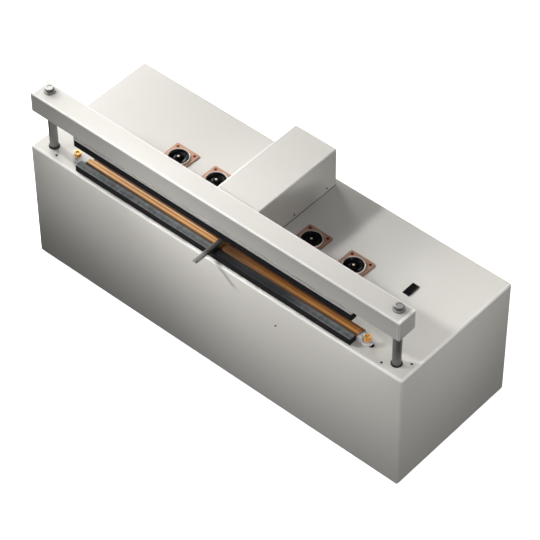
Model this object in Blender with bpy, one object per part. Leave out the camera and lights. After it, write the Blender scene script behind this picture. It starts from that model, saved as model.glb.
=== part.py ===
"""Industrial vacuum sealer with a retracting nozzle: a powder-coated bench cabinet with a
square-tube jaw that two air cylinders pull down onto a seal bar.

Metres, +Z up. X runs along the jaw, -Y is the operator's side, and the origin is on the
bench under the middle of the cabinet. Heights called lift are measured from the cabinet's
top face, and setbacks from its front face.
"""

import math

import bmesh
import bpy
from mathutils import Vector

# Clearances and modelling values
SEAT_GAP = 0.0003
SLIDE_GAP = 0.0003
OVERRUN = 0.002
MERGE_DISTANCE = 0.00001
SHARP_ANGLE = math.radians(32)
ROUND_STEPS = 20
SMALL_ROUND_STEPS = 12
HEX_STEPS = 6
BEND_STEPS = 3
ROUND_PROFILE_SHARE = 0.5

# Cabinet, as much wider than the seal as the rods and terminals need
SEAL_LENGTH = 0.742
HOUSING_END_MARGIN = 0.137
HOUSING_DEPTH = 0.350
HOUSING_HEIGHT = 0.314
HOUSING_WALL = 0.002
HOUSING_BEND_RADIUS = 0.004
BASE_THICKNESS = 0.002
FOOT_HEIGHT = 0.006
FOOT_RADIUS = 0.016
FOOT_SOLE_RADIUS = 0.014
FOOT_SCREW_RADIUS = 0.004
FOOT_SCREW_DEPTH = 0.003
FOOT_INSET = 0.045

# Jaw beam
BEAM_END_MARGIN = 0.013
BEAM_SIDE = 0.0508
BEAM_WALL = 0.0025
BEAM_EDGE_RADIUS = 0.003
BEAM_SETBACK = 0.001
BEAM_LIFT = 0.106
CAP_THICKNESS = 0.0025
CAP_PLUG_LENGTH = 0.006

# Rods and their bolts
ROD_INSET = 0.026
ROD_SETBACK = 0.03175
ROD_RADIUS = 0.009525
ROD_CHAMFER = 0.001
BOLT_RADIUS = 0.005
BOLT_REACH = 0.020
BOLT_HEAD_RADIUS = 0.0104
BOLT_HEAD_HEIGHT = 0.008
BOLT_HEAD_CHAMFER = 0.0012
WASHER_RADIUS = 0.013
WASHER_THICKNESS = 0.0025

# Rod bushings, and jaw cylinders as long as the jaw's travel needs
JAW_TRAVEL = 0.0535
BUSHING_FLANGE_WIDTH = 0.062
BUSHING_FLANGE_DEPTH = 0.049
BUSHING_FLANGE_THICKNESS = 0.010
BUSHING_FLANGE_CORNER = 0.008
WIPER_RADIUS = 0.012
WIPER_HEIGHT = 0.003
WIPER_CHAMFER = 0.001
BUSHING_SCREW_X = 0.0238
BUSHING_SCREW_Y = 0.0178
BUSHING_SCREW_RADIUS = 0.0016
BUSHING_SCREW_REACH = 0.008
BUSHING_SCREW_HEAD_RADIUS = 0.0027
BUSHING_SCREW_HEAD_HEIGHT = 0.0012
CYLINDER_RADIUS = 0.0245
CYLINDER_WALL = 0.003
CYLINDER_PORT_RADIUS = 0.004
PISTON_THICKNESS = 0.012
PISTON_GROOVE_DEPTH = 0.0015
PISTON_TOP_ROOM = 0.004
PISTON_BOTTOM_ROOM = 0.0275

# Pads
PAD_OVERHANG = 0.005
PAD_DEPTH = 0.0185
PAD_EDGE_RADIUS = 0.0012
UPPER_PAD_HEIGHT = 0.0185
LOWER_PAD_HEIGHT = 0.0175
LOWER_PAD_SETBACK = 0.0055
LOWER_PAD_SHIFT = -0.0055
CARRIER_THICKNESS = 0.0082
CARRIER_DEPTH = 0.046
CARRIER_EDGE_RADIUS = 0.0008
BACKING_DEPTH = 0.018
BACKING_HEIGHT = 0.0165

# Seal bar, heating ribbon and cover
SEAL_SETBACK = 0.035
SEAL_DEPTH = 0.018
SEAL_SHOULDER = 0.0108
SEAL_CROWN = 0.0155
SEAL_LAND = 0.0064
SEAL_FOOT_DEPTH = 0.0094
SEAL_FOOT_HEIGHT = 0.0066
CROWN_STEPS = 4
RIBBON_WIDTH = 0.005
RIBBON_THICKNESS = 0.0004
COVER_FILM = 0.0008

# Terminals
LEFT_TERMINAL_OFFSET = 0.0315
RIGHT_TERMINAL_OFFSET = 0.0202
TERMINAL_SETBACK = 0.0355
TERMINAL_BOSS_RADIUS = 0.0115
TERMINAL_BOSS_HEIGHT = 0.008
TERMINAL_BLOCK_OVERLAP = 0.0035
TERMINAL_BLOCK_DEPTH = 0.016
TERMINAL_BLOCK_HEIGHT = 0.0135
TERMINAL_EDGE_RADIUS = 0.0015
POST_RADIUS = 0.003
POST_FLANGE_RADIUS = 0.006
POST_FLANGE_THICKNESS = 0.0015
POST_REACH_ABOVE = 0.0073
POST_REACH_BELOW = 0.012
POST_HOLE_RADIUS = 0.004
NUT_RADIUS = 0.00775
NUT_WAIST_RADIUS = 0.0056
NUT_HEIGHT = 0.0095
NUT_FLANGE_HEIGHT = 0.0032
NUT_RECESS_RADIUS = 0.0045
NUT_RECESS_DEPTH = 0.0018
NUT_CHAMFER = 0.0008
WIRE_HOLE_OFFSET = 0.0106
WIRE_HOLE_LENGTH = 0.011
WIRE_HOLE_DEPTH = 0.0125
WIRE_HOLE_CORNER = 0.005

# Nozzle cover
COVER_WIDTH = 0.113
COVER_HEIGHT = 0.102
COVER_WALL = 0.0015
COVER_BEND_RADIUS = 0.003
COVER_SETBACK = 0.060
COVER_REAR_MARGIN = 0.0145
COVER_SLOT_CLEARANCE = 0.0012

# Nozzle
NOZZLE_TRAVEL = 0.098
NOZZLE_OVERHANG = 0.040
NOZZLE_TOP_LIFT = 0.025
NOZZLE_WIDTH = 0.0115
NOZZLE_THICKNESS = 0.005
NOZZLE_WALL = 0.0009
NOZZLE_PIPE_RADIUS = 0.0045
NOZZLE_TAIL = 0.004
NOZZLE_TAPER_START = 0.090
NOZZLE_TAPER_END = 0.125
NOZZLE_STEPS = 16
NOZZLE_TAPER_STEPS = 5
FLAT_POWER = 3.4
ROUND_POWER = 2.0

# Nozzle guide, carriage and cylinder
GUIDE_BASE_THICKNESS = 0.003
GUIDE_BASE_WIDTH = 0.072
GUIDE_FRONT_SETBACK = 0.066
GUIDE_REAR_ROOM = 0.006
GUIDE_BRACKET_THICKNESS = 0.008
GUIDE_BRACKET_WIDTH = 0.068
GUIDE_BRACKET_TALL = 0.094
GUIDE_BRACKET_SHORT = 0.050
RAIL_RADIUS = 0.005
RAIL_SPACING = 0.048
RAIL_LIFT = 0.036
CARRIAGE_TUCK = 0.008
CARRIAGE_LENGTH = 0.032
CARRIAGE_WIDTH = 0.064
CARRIAGE_BOTTOM_LIFT = 0.009
CARRIAGE_TOP_LIFT = 0.052
CARRIAGE_EDGE_RADIUS = 0.0015
ARM_WIDTH = 0.024
ARM_THICKNESS = 0.010
ARM_TOP_LIFT = 0.088
PUSH_ROD_RADIUS = 0.004
PUSH_ROD_FRONT_SETBACK = 0.088
PUSH_ROD_LIFT = 0.074
NOZZLE_CYLINDER_RADIUS = 0.013
NOZZLE_CYLINDER_WALL = 0.002
PUSH_ROD_ENGAGEMENT = 0.002

# Dials, in a pair on each side of the nozzle cover
LEFT_DIAL_MARGIN = 0.0815
LEFT_DIAL_PITCH = 0.107
RIGHT_DIAL_MARGIN = 0.0675
RIGHT_DIAL_PITCH = 0.113
DIAL_SETBACK = 0.177
DIAL_PLATE_SIDE = 0.0645
DIAL_PLATE_THICKNESS = 0.002
DIAL_PLATE_CORNER = 0.004
DIAL_PLATE_HOLE_RADIUS = 0.0033
DIAL_PLATE_HOLE_SPACING = 0.0475
DIAL_RIM_RADIUS = 0.0252
DIAL_RIM_HEIGHT = 0.003
DIAL_RIM_CHAMFER = 0.0008
DIAL_NECK_RADIUS = 0.0240
DIAL_WELL_RADIUS = 0.0228
DIAL_WELL_DEPTH = 0.010
DIAL_BODY_RADIUS = 0.0215
DIAL_BODY_DEPTH = 0.040
DIAL_SHAFT_RADIUS = 0.003
DIAL_SHAFT_LENGTH = 0.010
KNOB_RADIUS = 0.0222
KNOB_RIM_TOP = 0.0030
KNOB_RIM_WIDTH = 0.0040
KNOB_DISH_TOP = -0.0015
KNOB_HUB_RADIUS = 0.0070
KNOB_HUB_TOP = 0.0035
KNOB_HUB_CHAMFER = 0.0015

# Power switch
SWITCH_INSET = 0.1425
SWITCH_SETBACK = 0.2030
SWITCH_WIDTH = 0.0170
SWITCH_LENGTH = 0.0345
SWITCH_FLANGE_HEIGHT = 0.0016
SWITCH_FLANGE_LIP = 0.0016
SWITCH_BODY_DEPTH = 0.022
SWITCH_WINDOW_DEPTH = 0.0080
SWITCH_CORNER_RADIUS = 0.0012
ROCKER_TILT = math.radians(8)
ROCKER_CROWN = 0.0040
ROCKER_END_HEIGHT = 0.0030
ROCKER_KEEL = 0.0020
ROCKER_AXIS_DROP = 0.0010

# Parts on the base plate
TRANSFORMER_INSET = 0.268
TRANSFORMER_REAR_MARGIN = 0.120
TRANSFORMER_WIDTH = 0.100
TRANSFORMER_DEPTH = 0.060
TRANSFORMER_HEIGHT = 0.084
TRANSFORMER_LIMB = 0.016
COIL_PROUD = 0.016
COIL_EDGE_RADIUS = 0.006
MANIFOLD_INSET = 0.208
MANIFOLD_REAR_MARGIN = 0.110
MANIFOLD_HEIGHT = 0.024
MANIFOLD_DEPTH = 0.040
VALVE_COUNT = 4
VALVE_PITCH = 0.026
VALVE_WIDTH = 0.020
VALVE_DEPTH = 0.034
VALVE_HEIGHT = 0.046
GENERATOR_REAR_MARGIN = 0.110
GENERATOR_LENGTH = 0.130
GENERATOR_RADIUS = 0.014
GENERATOR_BLOCK_LENGTH = 0.054
GENERATOR_BLOCK_DEPTH = 0.040
GENERATOR_BLOCK_HEIGHT = 0.046
GENERATOR_SILENCER_RADIUS = 0.018
GENERATOR_SILENCER_LENGTH = 0.040
GENERATOR_BORE_RADIUS = 0.005

# Inlets on the back
AIR_INLET_INSET = 0.208
AIR_INLET_HEIGHT = 0.080
AIR_INLET_REACH = 0.040
AIR_INLET_INSIDE = 0.020
AIR_INLET_BORE_RADIUS = 0.0019
AIR_NUT_RADIUS = 0.0110
AIR_NUT_THICKNESS = 0.0080
AIR_THREAD_RADIUS = 0.0065
AIR_PLUG_RADIUS = 0.0058
AIR_PLUG_NECK_RADIUS = 0.0042
AIR_PLUG_TIP_RADIUS = 0.0048
AIR_PLUG_NECK_SHARE = 0.45
AIR_PLUG_COLLAR_SHARE = 0.62
AIR_PLUG_TIP_SHARE = 0.80
GLAND_INSET = 0.178
GLAND_HEIGHT = 0.070
GLAND_REACH = 0.024
GLAND_INSIDE = 0.016
GLAND_BORE_RADIUS = 0.0042
GLAND_THREAD_RADIUS = 0.0080
GLAND_NUT_RADIUS = 0.0125
GLAND_NUT_THICKNESS = 0.0060
GLAND_DOME_RADIUS = 0.0105
GLAND_TIP_RADIUS = 0.0072

# Lengths, levels and lines worked out from the sizes above
HOUSING_WIDTH = SEAL_LENGTH + 2 * HOUSING_END_MARGIN
BEAM_LENGTH = HOUSING_WIDTH - 2 * BEAM_END_MARGIN
PAD_LENGTH = SEAL_LENGTH + 2 * PAD_OVERHANG
ROD_X = BEAM_LENGTH / 2 - ROD_INSET
TERMINAL_PLACES = {
    "left": -SEAL_LENGTH / 2 - LEFT_TERMINAL_OFFSET,
    "right": SEAL_LENGTH / 2 + RIGHT_TERMINAL_OFFSET,
}
SWITCH_X = HOUSING_WIDTH / 2 - SWITCH_INSET
TRANSFORMER_X = HOUSING_WIDTH / 2 - TRANSFORMER_INSET
GLAND_X = HOUSING_WIDTH / 2 - GLAND_INSET
MANIFOLD_X = MANIFOLD_INSET - HOUSING_WIDTH / 2
AIR_INLET_X = AIR_INLET_INSET - HOUSING_WIDTH / 2
FRONT = -HOUSING_DEPTH / 2
BACK = HOUSING_DEPTH / 2
TOP = FOOT_HEIGHT + HOUSING_HEIGHT
UNDERSIDE = TOP - HOUSING_WALL
FLOOR_TOP = FOOT_HEIGHT + BASE_THICKNESS
BEAM_BOTTOM = TOP + BEAM_LIFT
BEAM_TOP = BEAM_BOTTOM + BEAM_SIDE
BEAM_FRONT = FRONT + BEAM_SETBACK
ROD_Y = FRONT + ROD_SETBACK
SEAL_Y = FRONT + SEAL_SETBACK
TERMINAL_Y = FRONT + TERMINAL_SETBACK
DIAL_Y = FRONT + DIAL_SETBACK
SWITCH_Y = FRONT + SWITCH_SETBACK
GUIDE_FRONT = FRONT + GUIDE_FRONT_SETBACK
GUIDE_REAR = BACK - COVER_REAR_MARGIN - COVER_WALL - GUIDE_REAR_ROOM
TRANSFORMER_Y = BACK - TRANSFORMER_REAR_MARGIN
MANIFOLD_Y = BACK - MANIFOLD_REAR_MARGIN
GENERATOR_Y = BACK - GENERATOR_REAR_MARGIN
SEAL_BASE = TOP + SEAT_GAP
CYLINDER_LENGTH = CYLINDER_WALL + PISTON_BOTTOM_ROOM + JAW_TRAVEL + PISTON_THICKNESS + PISTON_TOP_ROOM
NOZZLE_CYLINDER_REAR_SETBACK = PUSH_ROD_FRONT_SETBACK + NOZZLE_TRAVEL + PUSH_ROD_ENGAGEMENT
CARRIAGE_SETBACK = NOZZLE_CYLINDER_REAR_SETBACK - CARRIAGE_TUCK
NOZZLE_REAR_SETBACK = CARRIAGE_SETBACK + CARRIAGE_LENGTH + NOZZLE_TAIL
NOZZLE_TOP = TOP + NOZZLE_TOP_LIFT
SIDES = (("left", -1), ("right", 1))
DIAL_PLACES = (
    ("left_outer", -COVER_WIDTH / 2 - LEFT_DIAL_MARGIN - LEFT_DIAL_PITCH),
    ("left_inner", -COVER_WIDTH / 2 - LEFT_DIAL_MARGIN),
    ("right_inner", COVER_WIDTH / 2 + RIGHT_DIAL_MARGIN),
    ("right_outer", COVER_WIDTH / 2 + RIGHT_DIAL_MARGIN + RIGHT_DIAL_PITCH),
)
FINISHES = {}


def finish(name, colour, roughness, metallic=0.0):
    """A Principled material, made once for each name."""
    if name not in FINISHES:
        made = bpy.data.materials.new(name)
        made.use_nodes = True
        shader = made.node_tree.nodes["Principled BSDF"]
        shader.inputs["Base Color"].default_value = (*colour, 1)
        shader.inputs["Roughness"].default_value = roughness
        shader.inputs["Metallic"].default_value = metallic
        FINISHES[name] = made
    return FINISHES[name]


def powder_coat(name):
    return finish(name + "_powder_coat", (0.78, 0.77, 0.74), 0.45)


def steel(name):
    return finish(name + "_steel", (0.55, 0.55, 0.54), 0.28, 1.0)


def aluminium(name):
    return finish(name + "_aluminium", (0.72, 0.72, 0.72), 0.35, 1.0)


def brass(name):
    return finish(name + "_brass", (0.86, 0.58, 0.16), 0.28, 1.0)


def copper(name):
    return finish(name + "_copper", (0.62, 0.36, 0.24), 0.4, 0.8)


def black_plastic(name):
    return finish(name + "_black_plastic", (0.012, 0.012, 0.013), 0.25)


def rubber(name):
    return finish(name + "_rubber", (0.02, 0.02, 0.022), 0.7)


def white_plastic(name):
    return finish(name + "_white_plastic", (0.85, 0.85, 0.82), 0.4)


def woven_film(name):
    return finish(name + "_woven_film", (0.58, 0.26, 0.06), 0.45)


def place_object(name, mesh, place, look, parent=None, rotation=(0, 0, 0)):
    """Puts a mesh into the scene at a world place, under its joint's empty if it has one."""
    made = bpy.data.objects.new(name, mesh)
    bpy.context.scene.collection.objects.link(made)
    made.location = Vector(place)
    if parent:
        made.parent = parent
        made.location = Vector(place) - parent.location
    made.rotation_euler = rotation
    if look:
        mesh.materials.append(look)
    else:
        made.hide_render = True
        made.display_type = "WIRE"
    return made


def joint_empty(name, place):
    """The empty on a joint's axis that carries what moves with that joint."""
    made = bpy.data.objects.new(name, None)
    bpy.context.scene.collection.objects.link(made)
    made.location = place
    return made


def mesh_from(name, shape, smooth):
    """Takes the bmesh into a mesh with its faces pointing out."""
    bmesh.ops.remove_doubles(shape, verts=shape.verts, dist=MERGE_DISTANCE)
    bmesh.ops.recalc_face_normals(shape, faces=shape.faces)
    mesh = bpy.data.meshes.new(name)
    shape.to_mesh(mesh)
    shape.free()
    if smooth:
        mesh.shade_smooth()
        mesh.set_sharp_from_angle(angle=SHARP_ANGLE)
    return mesh


def block(name, low, high, look=None, parent=None):
    """A box between two world corners, with its origin in the middle of its base."""
    size = Vector(high) - Vector(low)
    shape = bmesh.new()
    bmesh.ops.create_cube(shape, size=1)
    bmesh.ops.scale(shape, vec=size, verts=shape.verts)
    bmesh.ops.translate(shape, vec=(0, 0, size.z / 2), verts=shape.verts)
    middle = (Vector(low) + Vector(high)) / 2
    return place_object(name, mesh_from(name, shape, False), (middle.x, middle.y, low[2]), look, parent)


def turned(name, profile, place, look=None, parent=None, axis="Z", steps=ROUND_STEPS):
    """Spins (radius, height) points about the axis. A profile from axis to axis makes a solid
    piece, and any other profile is closed into a ring."""
    shape = bmesh.new()
    points = [shape.verts.new((radius, 0, height)) for radius, height in profile]
    edges = [shape.edges.new(pair) for pair in zip(points, points[1:])]
    if profile[0][0] or profile[-1][0]:
        edges.append(shape.edges.new((points[-1], points[0])))
    bmesh.ops.spin(
        shape, geom=points + edges, cent=(0, 0, 0), axis=(0, 0, 1), angle=math.tau, steps=steps
    )
    rotation = {"Z": (0, 0, 0), "Y": (-math.pi / 2, 0, 0), "X": (0, math.pi / 2, 0)}[axis]
    smooth = steps > HEX_STEPS
    return place_object(name, mesh_from(name, shape, smooth), place, look, parent, rotation)


def rod_between(name, radius, start, length, look=None, parent=None, axis="Z", steps=ROUND_STEPS):
    """A plain round bar from a start point along an axis."""
    profile = ((0, length), (radius, length), (radius, 0), (0, 0))
    return turned(name, profile, start, look, parent, axis, steps)


def prism(name, outline, length, place, look=None, parent=None, axis="Z", rotation=(0, 0, 0)):
    """Extrudes a closed outline of (across, up) points along X, Y or Z, centred on the place."""
    shape = bmesh.new()
    along = {"X": Vector((1, 0, 0)), "Y": Vector((0, 1, 0)), "Z": Vector((0, 0, 1))}[axis]
    corners = []
    for across, up in outline:
        spot = {"X": (0, across, up), "Y": (across, 0, up), "Z": (across, up, 0)}[axis]
        corners.append(shape.verts.new(Vector(spot) - along * length / 2))
    face = shape.faces.new(corners)
    sides = bmesh.ops.extrude_face_region(shape, geom=[face])
    moved = [item for item in sides["geom"] if isinstance(item, bmesh.types.BMVert)]
    bmesh.ops.translate(shape, vec=along * length, verts=moved)
    return place_object(name, mesh_from(name, shape, True), place, look, parent, rotation)


def rounded_outline(width, height, radius, steps=4):
    """The corners of a rectangle, each turned into an arc."""
    points = []
    for quarter, (side_x, side_y) in enumerate(((1, 1), (-1, 1), (-1, -1), (1, -1))):
        middle_x = side_x * (width / 2 - radius)
        middle_y = side_y * (height / 2 - radius)
        for step in range(steps + 1):
            angle = (quarter + step / steps) * math.pi / 2
            points.append((middle_x + radius * math.cos(angle), middle_y + radius * math.sin(angle)))
    return points


def round_edges(obj, width, segments=2):
    """Rounds the sharp edges with a Bevel modifier."""
    bevel = obj.modifiers.new("rounded edges", "BEVEL")
    bevel.width = width
    bevel.segments = segments
    bevel.limit_method = "ANGLE"
    bevel.angle_limit = SHARP_ANGLE
    return obj


def boolean(obj, other, operation):
    """Cuts the other solid out of this one, or joins it on, and keeps the other out of renders."""
    change = obj.modifiers.new(operation.lower() + " " + other.name, "BOOLEAN")
    change.operation = operation
    change.solver = "EXACT"
    change.object = other
    return obj


def cut(obj, *cutters):
    for cutter in cutters:
        boolean(obj, cutter, "DIFFERENCE")
    return obj


def join(obj, *others):
    for other in others:
        boolean(obj, other, "UNION")
    return obj


def folded_case(name, low, high, wall, bend_radius, look):
    """A sheet-metal case, open below: a box with bent edges, given its wall by Solidify."""
    size = Vector(high) - Vector(low)
    shape = bmesh.new()
    bmesh.ops.create_cube(shape, size=1)
    bmesh.ops.scale(shape, vec=size, verts=shape.verts)
    bmesh.ops.translate(shape, vec=(0, 0, size.z / 2), verts=shape.verts)
    below = [face for face in shape.faces if all(vert.co.z < size.z / 2 for vert in face.verts)]
    bmesh.ops.delete(shape, geom=below, context="FACES")
    bends = [edge for edge in shape.edges if len(edge.link_faces) == 2]
    bmesh.ops.bevel(
        shape, geom=bends, offset=bend_radius, segments=BEND_STEPS, profile=ROUND_PROFILE_SHARE,
        affect="EDGES",
    )
    middle = (Vector(low) + Vector(high)) / 2
    case = place_object(name, mesh_from(name, shape, True), (middle.x, middle.y, low[2]), look)
    sheet = case.modifiers.new("sheet", "SOLIDIFY")
    sheet.thickness = wall
    sheet.offset = -1
    sheet.use_even_offset = True
    return case


def housing_shell():
    """The cabinet: one folded sheet case with every opening cut through its top and back."""
    half = HOUSING_WIDTH / 2
    shell = folded_case(
        "housing_shell", (-half, FRONT, FOOT_HEIGHT), (half, BACK, TOP), HOUSING_WALL,
        HOUSING_BEND_RADIUS, powder_coat("housing"),
    )
    start = UNDERSIDE - OVERRUN
    depth = HOUSING_WALL + 2 * OVERRUN
    for side, sign in SIDES:
        rod_x = sign * ROD_X
        cut(
            shell,
            rod_between(f"cut_wiper_{side}", WIPER_RADIUS + SEAT_GAP, (rod_x, ROD_Y, start), depth),
            rod_between(f"cut_post_{side}", POST_HOLE_RADIUS, (TERMINAL_PLACES[side], TERMINAL_Y, start),
                        depth, steps=SMALL_ROUND_STEPS),
        )
        for place, turn in (("front", -1), ("rear", 1)):
            spot = (rod_x + turn * sign * BUSHING_SCREW_X, ROD_Y + turn * BUSHING_SCREW_Y, start)
            cut(shell, rod_between(f"cut_screw_{side}_{place}", BUSHING_SCREW_RADIUS + SEAT_GAP, spot,
                                   depth, steps=SMALL_ROUND_STEPS))
    wire_hole = rounded_outline(WIRE_HOLE_LENGTH, WIRE_HOLE_DEPTH, WIRE_HOLE_CORNER)
    wire_place = (TERMINAL_PLACES["right"] + WIRE_HOLE_OFFSET, TERMINAL_Y, UNDERSIDE + HOUSING_WALL / 2)
    cut(shell, prism("cut_wire", wire_hole, depth, wire_place))
    for place, x in DIAL_PLACES:
        cut(shell, rod_between(f"cut_dial_{place}", DIAL_NECK_RADIUS + SEAT_GAP, (x, DIAL_Y, start), depth))
    inner_width = SWITCH_WIDTH / 2 - SWITCH_FLANGE_LIP + SEAT_GAP
    inner_length = SWITCH_LENGTH / 2 - SWITCH_FLANGE_LIP + SEAT_GAP
    cut(
        shell,
        block(
            "cut_switch", (SWITCH_X - inner_width, SWITCH_Y - inner_length, start),
            (SWITCH_X + inner_width, SWITCH_Y + inner_length, start + depth),
        ),
        rod_between("cut_air_inlet", AIR_THREAD_RADIUS + SEAT_GAP,
                    (AIR_INLET_X, BACK - HOUSING_WALL - OVERRUN, AIR_INLET_HEIGHT), depth, axis="Y"),
        rod_between("cut_gland", GLAND_THREAD_RADIUS + SEAT_GAP,
                    (GLAND_X, BACK - HOUSING_WALL - OVERRUN, GLAND_HEIGHT), depth, axis="Y"),
    )
    return shell


def base_plate():
    """The flat plate that closes the cabinet, flush with the shell's lower rim."""
    half_width = HOUSING_WIDTH / 2 - HOUSING_WALL - SEAT_GAP
    half_depth = HOUSING_DEPTH / 2 - HOUSING_WALL - SEAT_GAP
    outline = rounded_outline(2 * half_width, 2 * half_depth, HOUSING_BEND_RADIUS - HOUSING_WALL)
    middle = FOOT_HEIGHT + BASE_THICKNESS / 2
    return prism("base_plate", outline, BASE_THICKNESS, (0, 0, middle), steel("base_plate"))


def feet():
    """Four rubber feet, tapered to their soles, each with a countersunk screw pocket."""
    top = FOOT_HEIGHT - SEAT_GAP
    profile = (
        (0, top), (FOOT_RADIUS, top), (FOOT_SOLE_RADIUS, 0), (FOOT_SCREW_RADIUS, 0),
        (FOOT_SCREW_RADIUS, FOOT_SCREW_DEPTH), (0, FOOT_SCREW_DEPTH),
    )
    for side, sign in SIDES:
        for place, turn in (("front", -1), ("rear", 1)):
            spot = (sign * (HOUSING_WIDTH / 2 - FOOT_INSET), turn * (HOUSING_DEPTH / 2 - FOOT_INSET), 0)
            turned(f"foot_{place}_{side}", profile, spot, rubber("foot"))


def jaw_beam(jaw):
    """Square steel tube with rounded corners, holes below for the rods and above for the bolts."""
    tube_length = BEAM_LENGTH - 2 * (CAP_THICKNESS + SEAT_GAP)
    middle = (0, BEAM_FRONT + BEAM_SIDE / 2, BEAM_BOTTOM + BEAM_SIDE / 2)
    outline = rounded_outline(BEAM_SIDE, BEAM_SIDE, BEAM_EDGE_RADIUS)
    beam = prism("jaw_beam", outline, tube_length, middle, powder_coat("jaw_beam"), jaw, "X")
    inner_side = BEAM_SIDE - 2 * BEAM_WALL
    hollow = rounded_outline(inner_side, inner_side, BEAM_EDGE_RADIUS - BEAM_WALL)
    cut(beam, prism("cut_beam_hollow", hollow, tube_length + 2 * OVERRUN, middle, axis="X"))
    for side, sign in SIDES:
        x = sign * ROD_X
        cut(
            beam,
            rod_between(f"cut_beam_rod_{side}", ROD_RADIUS + SEAT_GAP,
                        (x, ROD_Y, BEAM_BOTTOM - OVERRUN), BEAM_WALL + 2 * OVERRUN),
            rod_between(f"cut_beam_bolt_{side}", BOLT_RADIUS + SEAT_GAP,
                        (x, ROD_Y, BEAM_TOP - BEAM_WALL - OVERRUN), BEAM_WALL + 2 * OVERRUN,
                        steps=SMALL_ROUND_STEPS),
        )
    return beam


def beam_end_caps(jaw):
    """A flat cap on each end of the beam, with a plug that fits the tube's bore."""
    outline = rounded_outline(BEAM_SIDE, BEAM_SIDE, BEAM_EDGE_RADIUS)
    plug_side = BEAM_SIDE - 2 * BEAM_WALL - 2 * SEAT_GAP
    plug_outline = rounded_outline(plug_side, plug_side, BEAM_EDGE_RADIUS - BEAM_WALL)
    y = BEAM_FRONT + BEAM_SIDE / 2
    z = BEAM_BOTTOM + BEAM_SIDE / 2
    for side, sign in SIDES:
        x = sign * (BEAM_LENGTH / 2 - CAP_THICKNESS / 2)
        look = powder_coat("beam_end_cap")
        cap = prism(f"beam_end_cap_{side}", outline, CAP_THICKNESS, (x, y, z), look, jaw, "X")
        plug_x = sign * (BEAM_LENGTH / 2 - CAP_THICKNESS / 2 - CAP_PLUG_LENGTH / 2)
        plug = prism(f"join_cap_plug_{side}", plug_outline, CAP_PLUG_LENGTH, (plug_x, y, z), axis="X")
        join(cap, plug)


def piston_rods(jaw):
    """Each rod runs from inside the beam down to its piston, with a tapped hole in its top."""
    top = BEAM_TOP - BEAM_WALL - SEAT_GAP
    flange_bottom = UNDERSIDE - SEAT_GAP - BUSHING_FLANGE_THICKNESS
    piston_top = flange_bottom - SEAT_GAP - PISTON_TOP_ROOM
    bottom = piston_top - PISTON_THICKNESS
    piston_radius = CYLINDER_RADIUS - CYLINDER_WALL - SLIDE_GAP
    groove_radius = piston_radius - PISTON_GROOVE_DEPTH
    land = PISTON_THICKNESS / 3
    bore = BOLT_RADIUS + SEAT_GAP
    length = top - bottom
    profile = (
        (0, length - BOLT_REACH), (bore, length - BOLT_REACH), (bore, length),
        (ROD_RADIUS - ROD_CHAMFER, length), (ROD_RADIUS, length - ROD_CHAMFER),
        (ROD_RADIUS, PISTON_THICKNESS), (piston_radius, PISTON_THICKNESS),
        (piston_radius, PISTON_THICKNESS - land), (groove_radius, PISTON_THICKNESS - land),
        (groove_radius, land), (piston_radius, land), (piston_radius, 0), (0, 0),
    )
    for side, sign in SIDES:
        spot = (sign * ROD_X, ROD_Y, bottom)
        turned(f"piston_rod_{side}", profile, spot, steel("piston_rod"), jaw)


def rod_bolts(jaw):
    """A hexagon bolt and a washer over each rod: the bolt draws the beam onto the rod's end."""
    bore = BOLT_RADIUS + SEAT_GAP
    washer = ((bore, 0), (bore, WASHER_THICKNESS), (WASHER_RADIUS, WASHER_THICKNESS), (WASHER_RADIUS, 0))
    seat = BEAM_TOP + SEAT_GAP
    head_bottom = seat + WASHER_THICKNESS + SEAT_GAP
    shank = head_bottom - (BEAM_TOP - BEAM_WALL - BOLT_REACH + SEAT_GAP * 2)
    inner = BOLT_HEAD_RADIUS - BOLT_HEAD_CHAMFER
    head = ((0, BOLT_HEAD_HEIGHT), (inner, BOLT_HEAD_HEIGHT),
            (BOLT_HEAD_RADIUS, BOLT_HEAD_HEIGHT - BOLT_HEAD_CHAMFER), (BOLT_HEAD_RADIUS, 0), (0, 0))
    for side, sign in SIDES:
        x = sign * ROD_X
        turned(f"bolt_washer_{side}", washer, (x, ROD_Y, seat), steel("washer"), jaw)
        bolt = turned(f"rod_bolt_{side}", head, (x, ROD_Y, head_bottom), steel("bolt"), jaw,
                      steps=HEX_STEPS)
        stem = rod_between(f"join_bolt_shank_{side}", BOLT_RADIUS, (x, ROD_Y, head_bottom - shank),
                           shank + BOLT_HEAD_HEIGHT / 2, steps=SMALL_ROUND_STEPS)
        join(bolt, stem)


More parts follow.
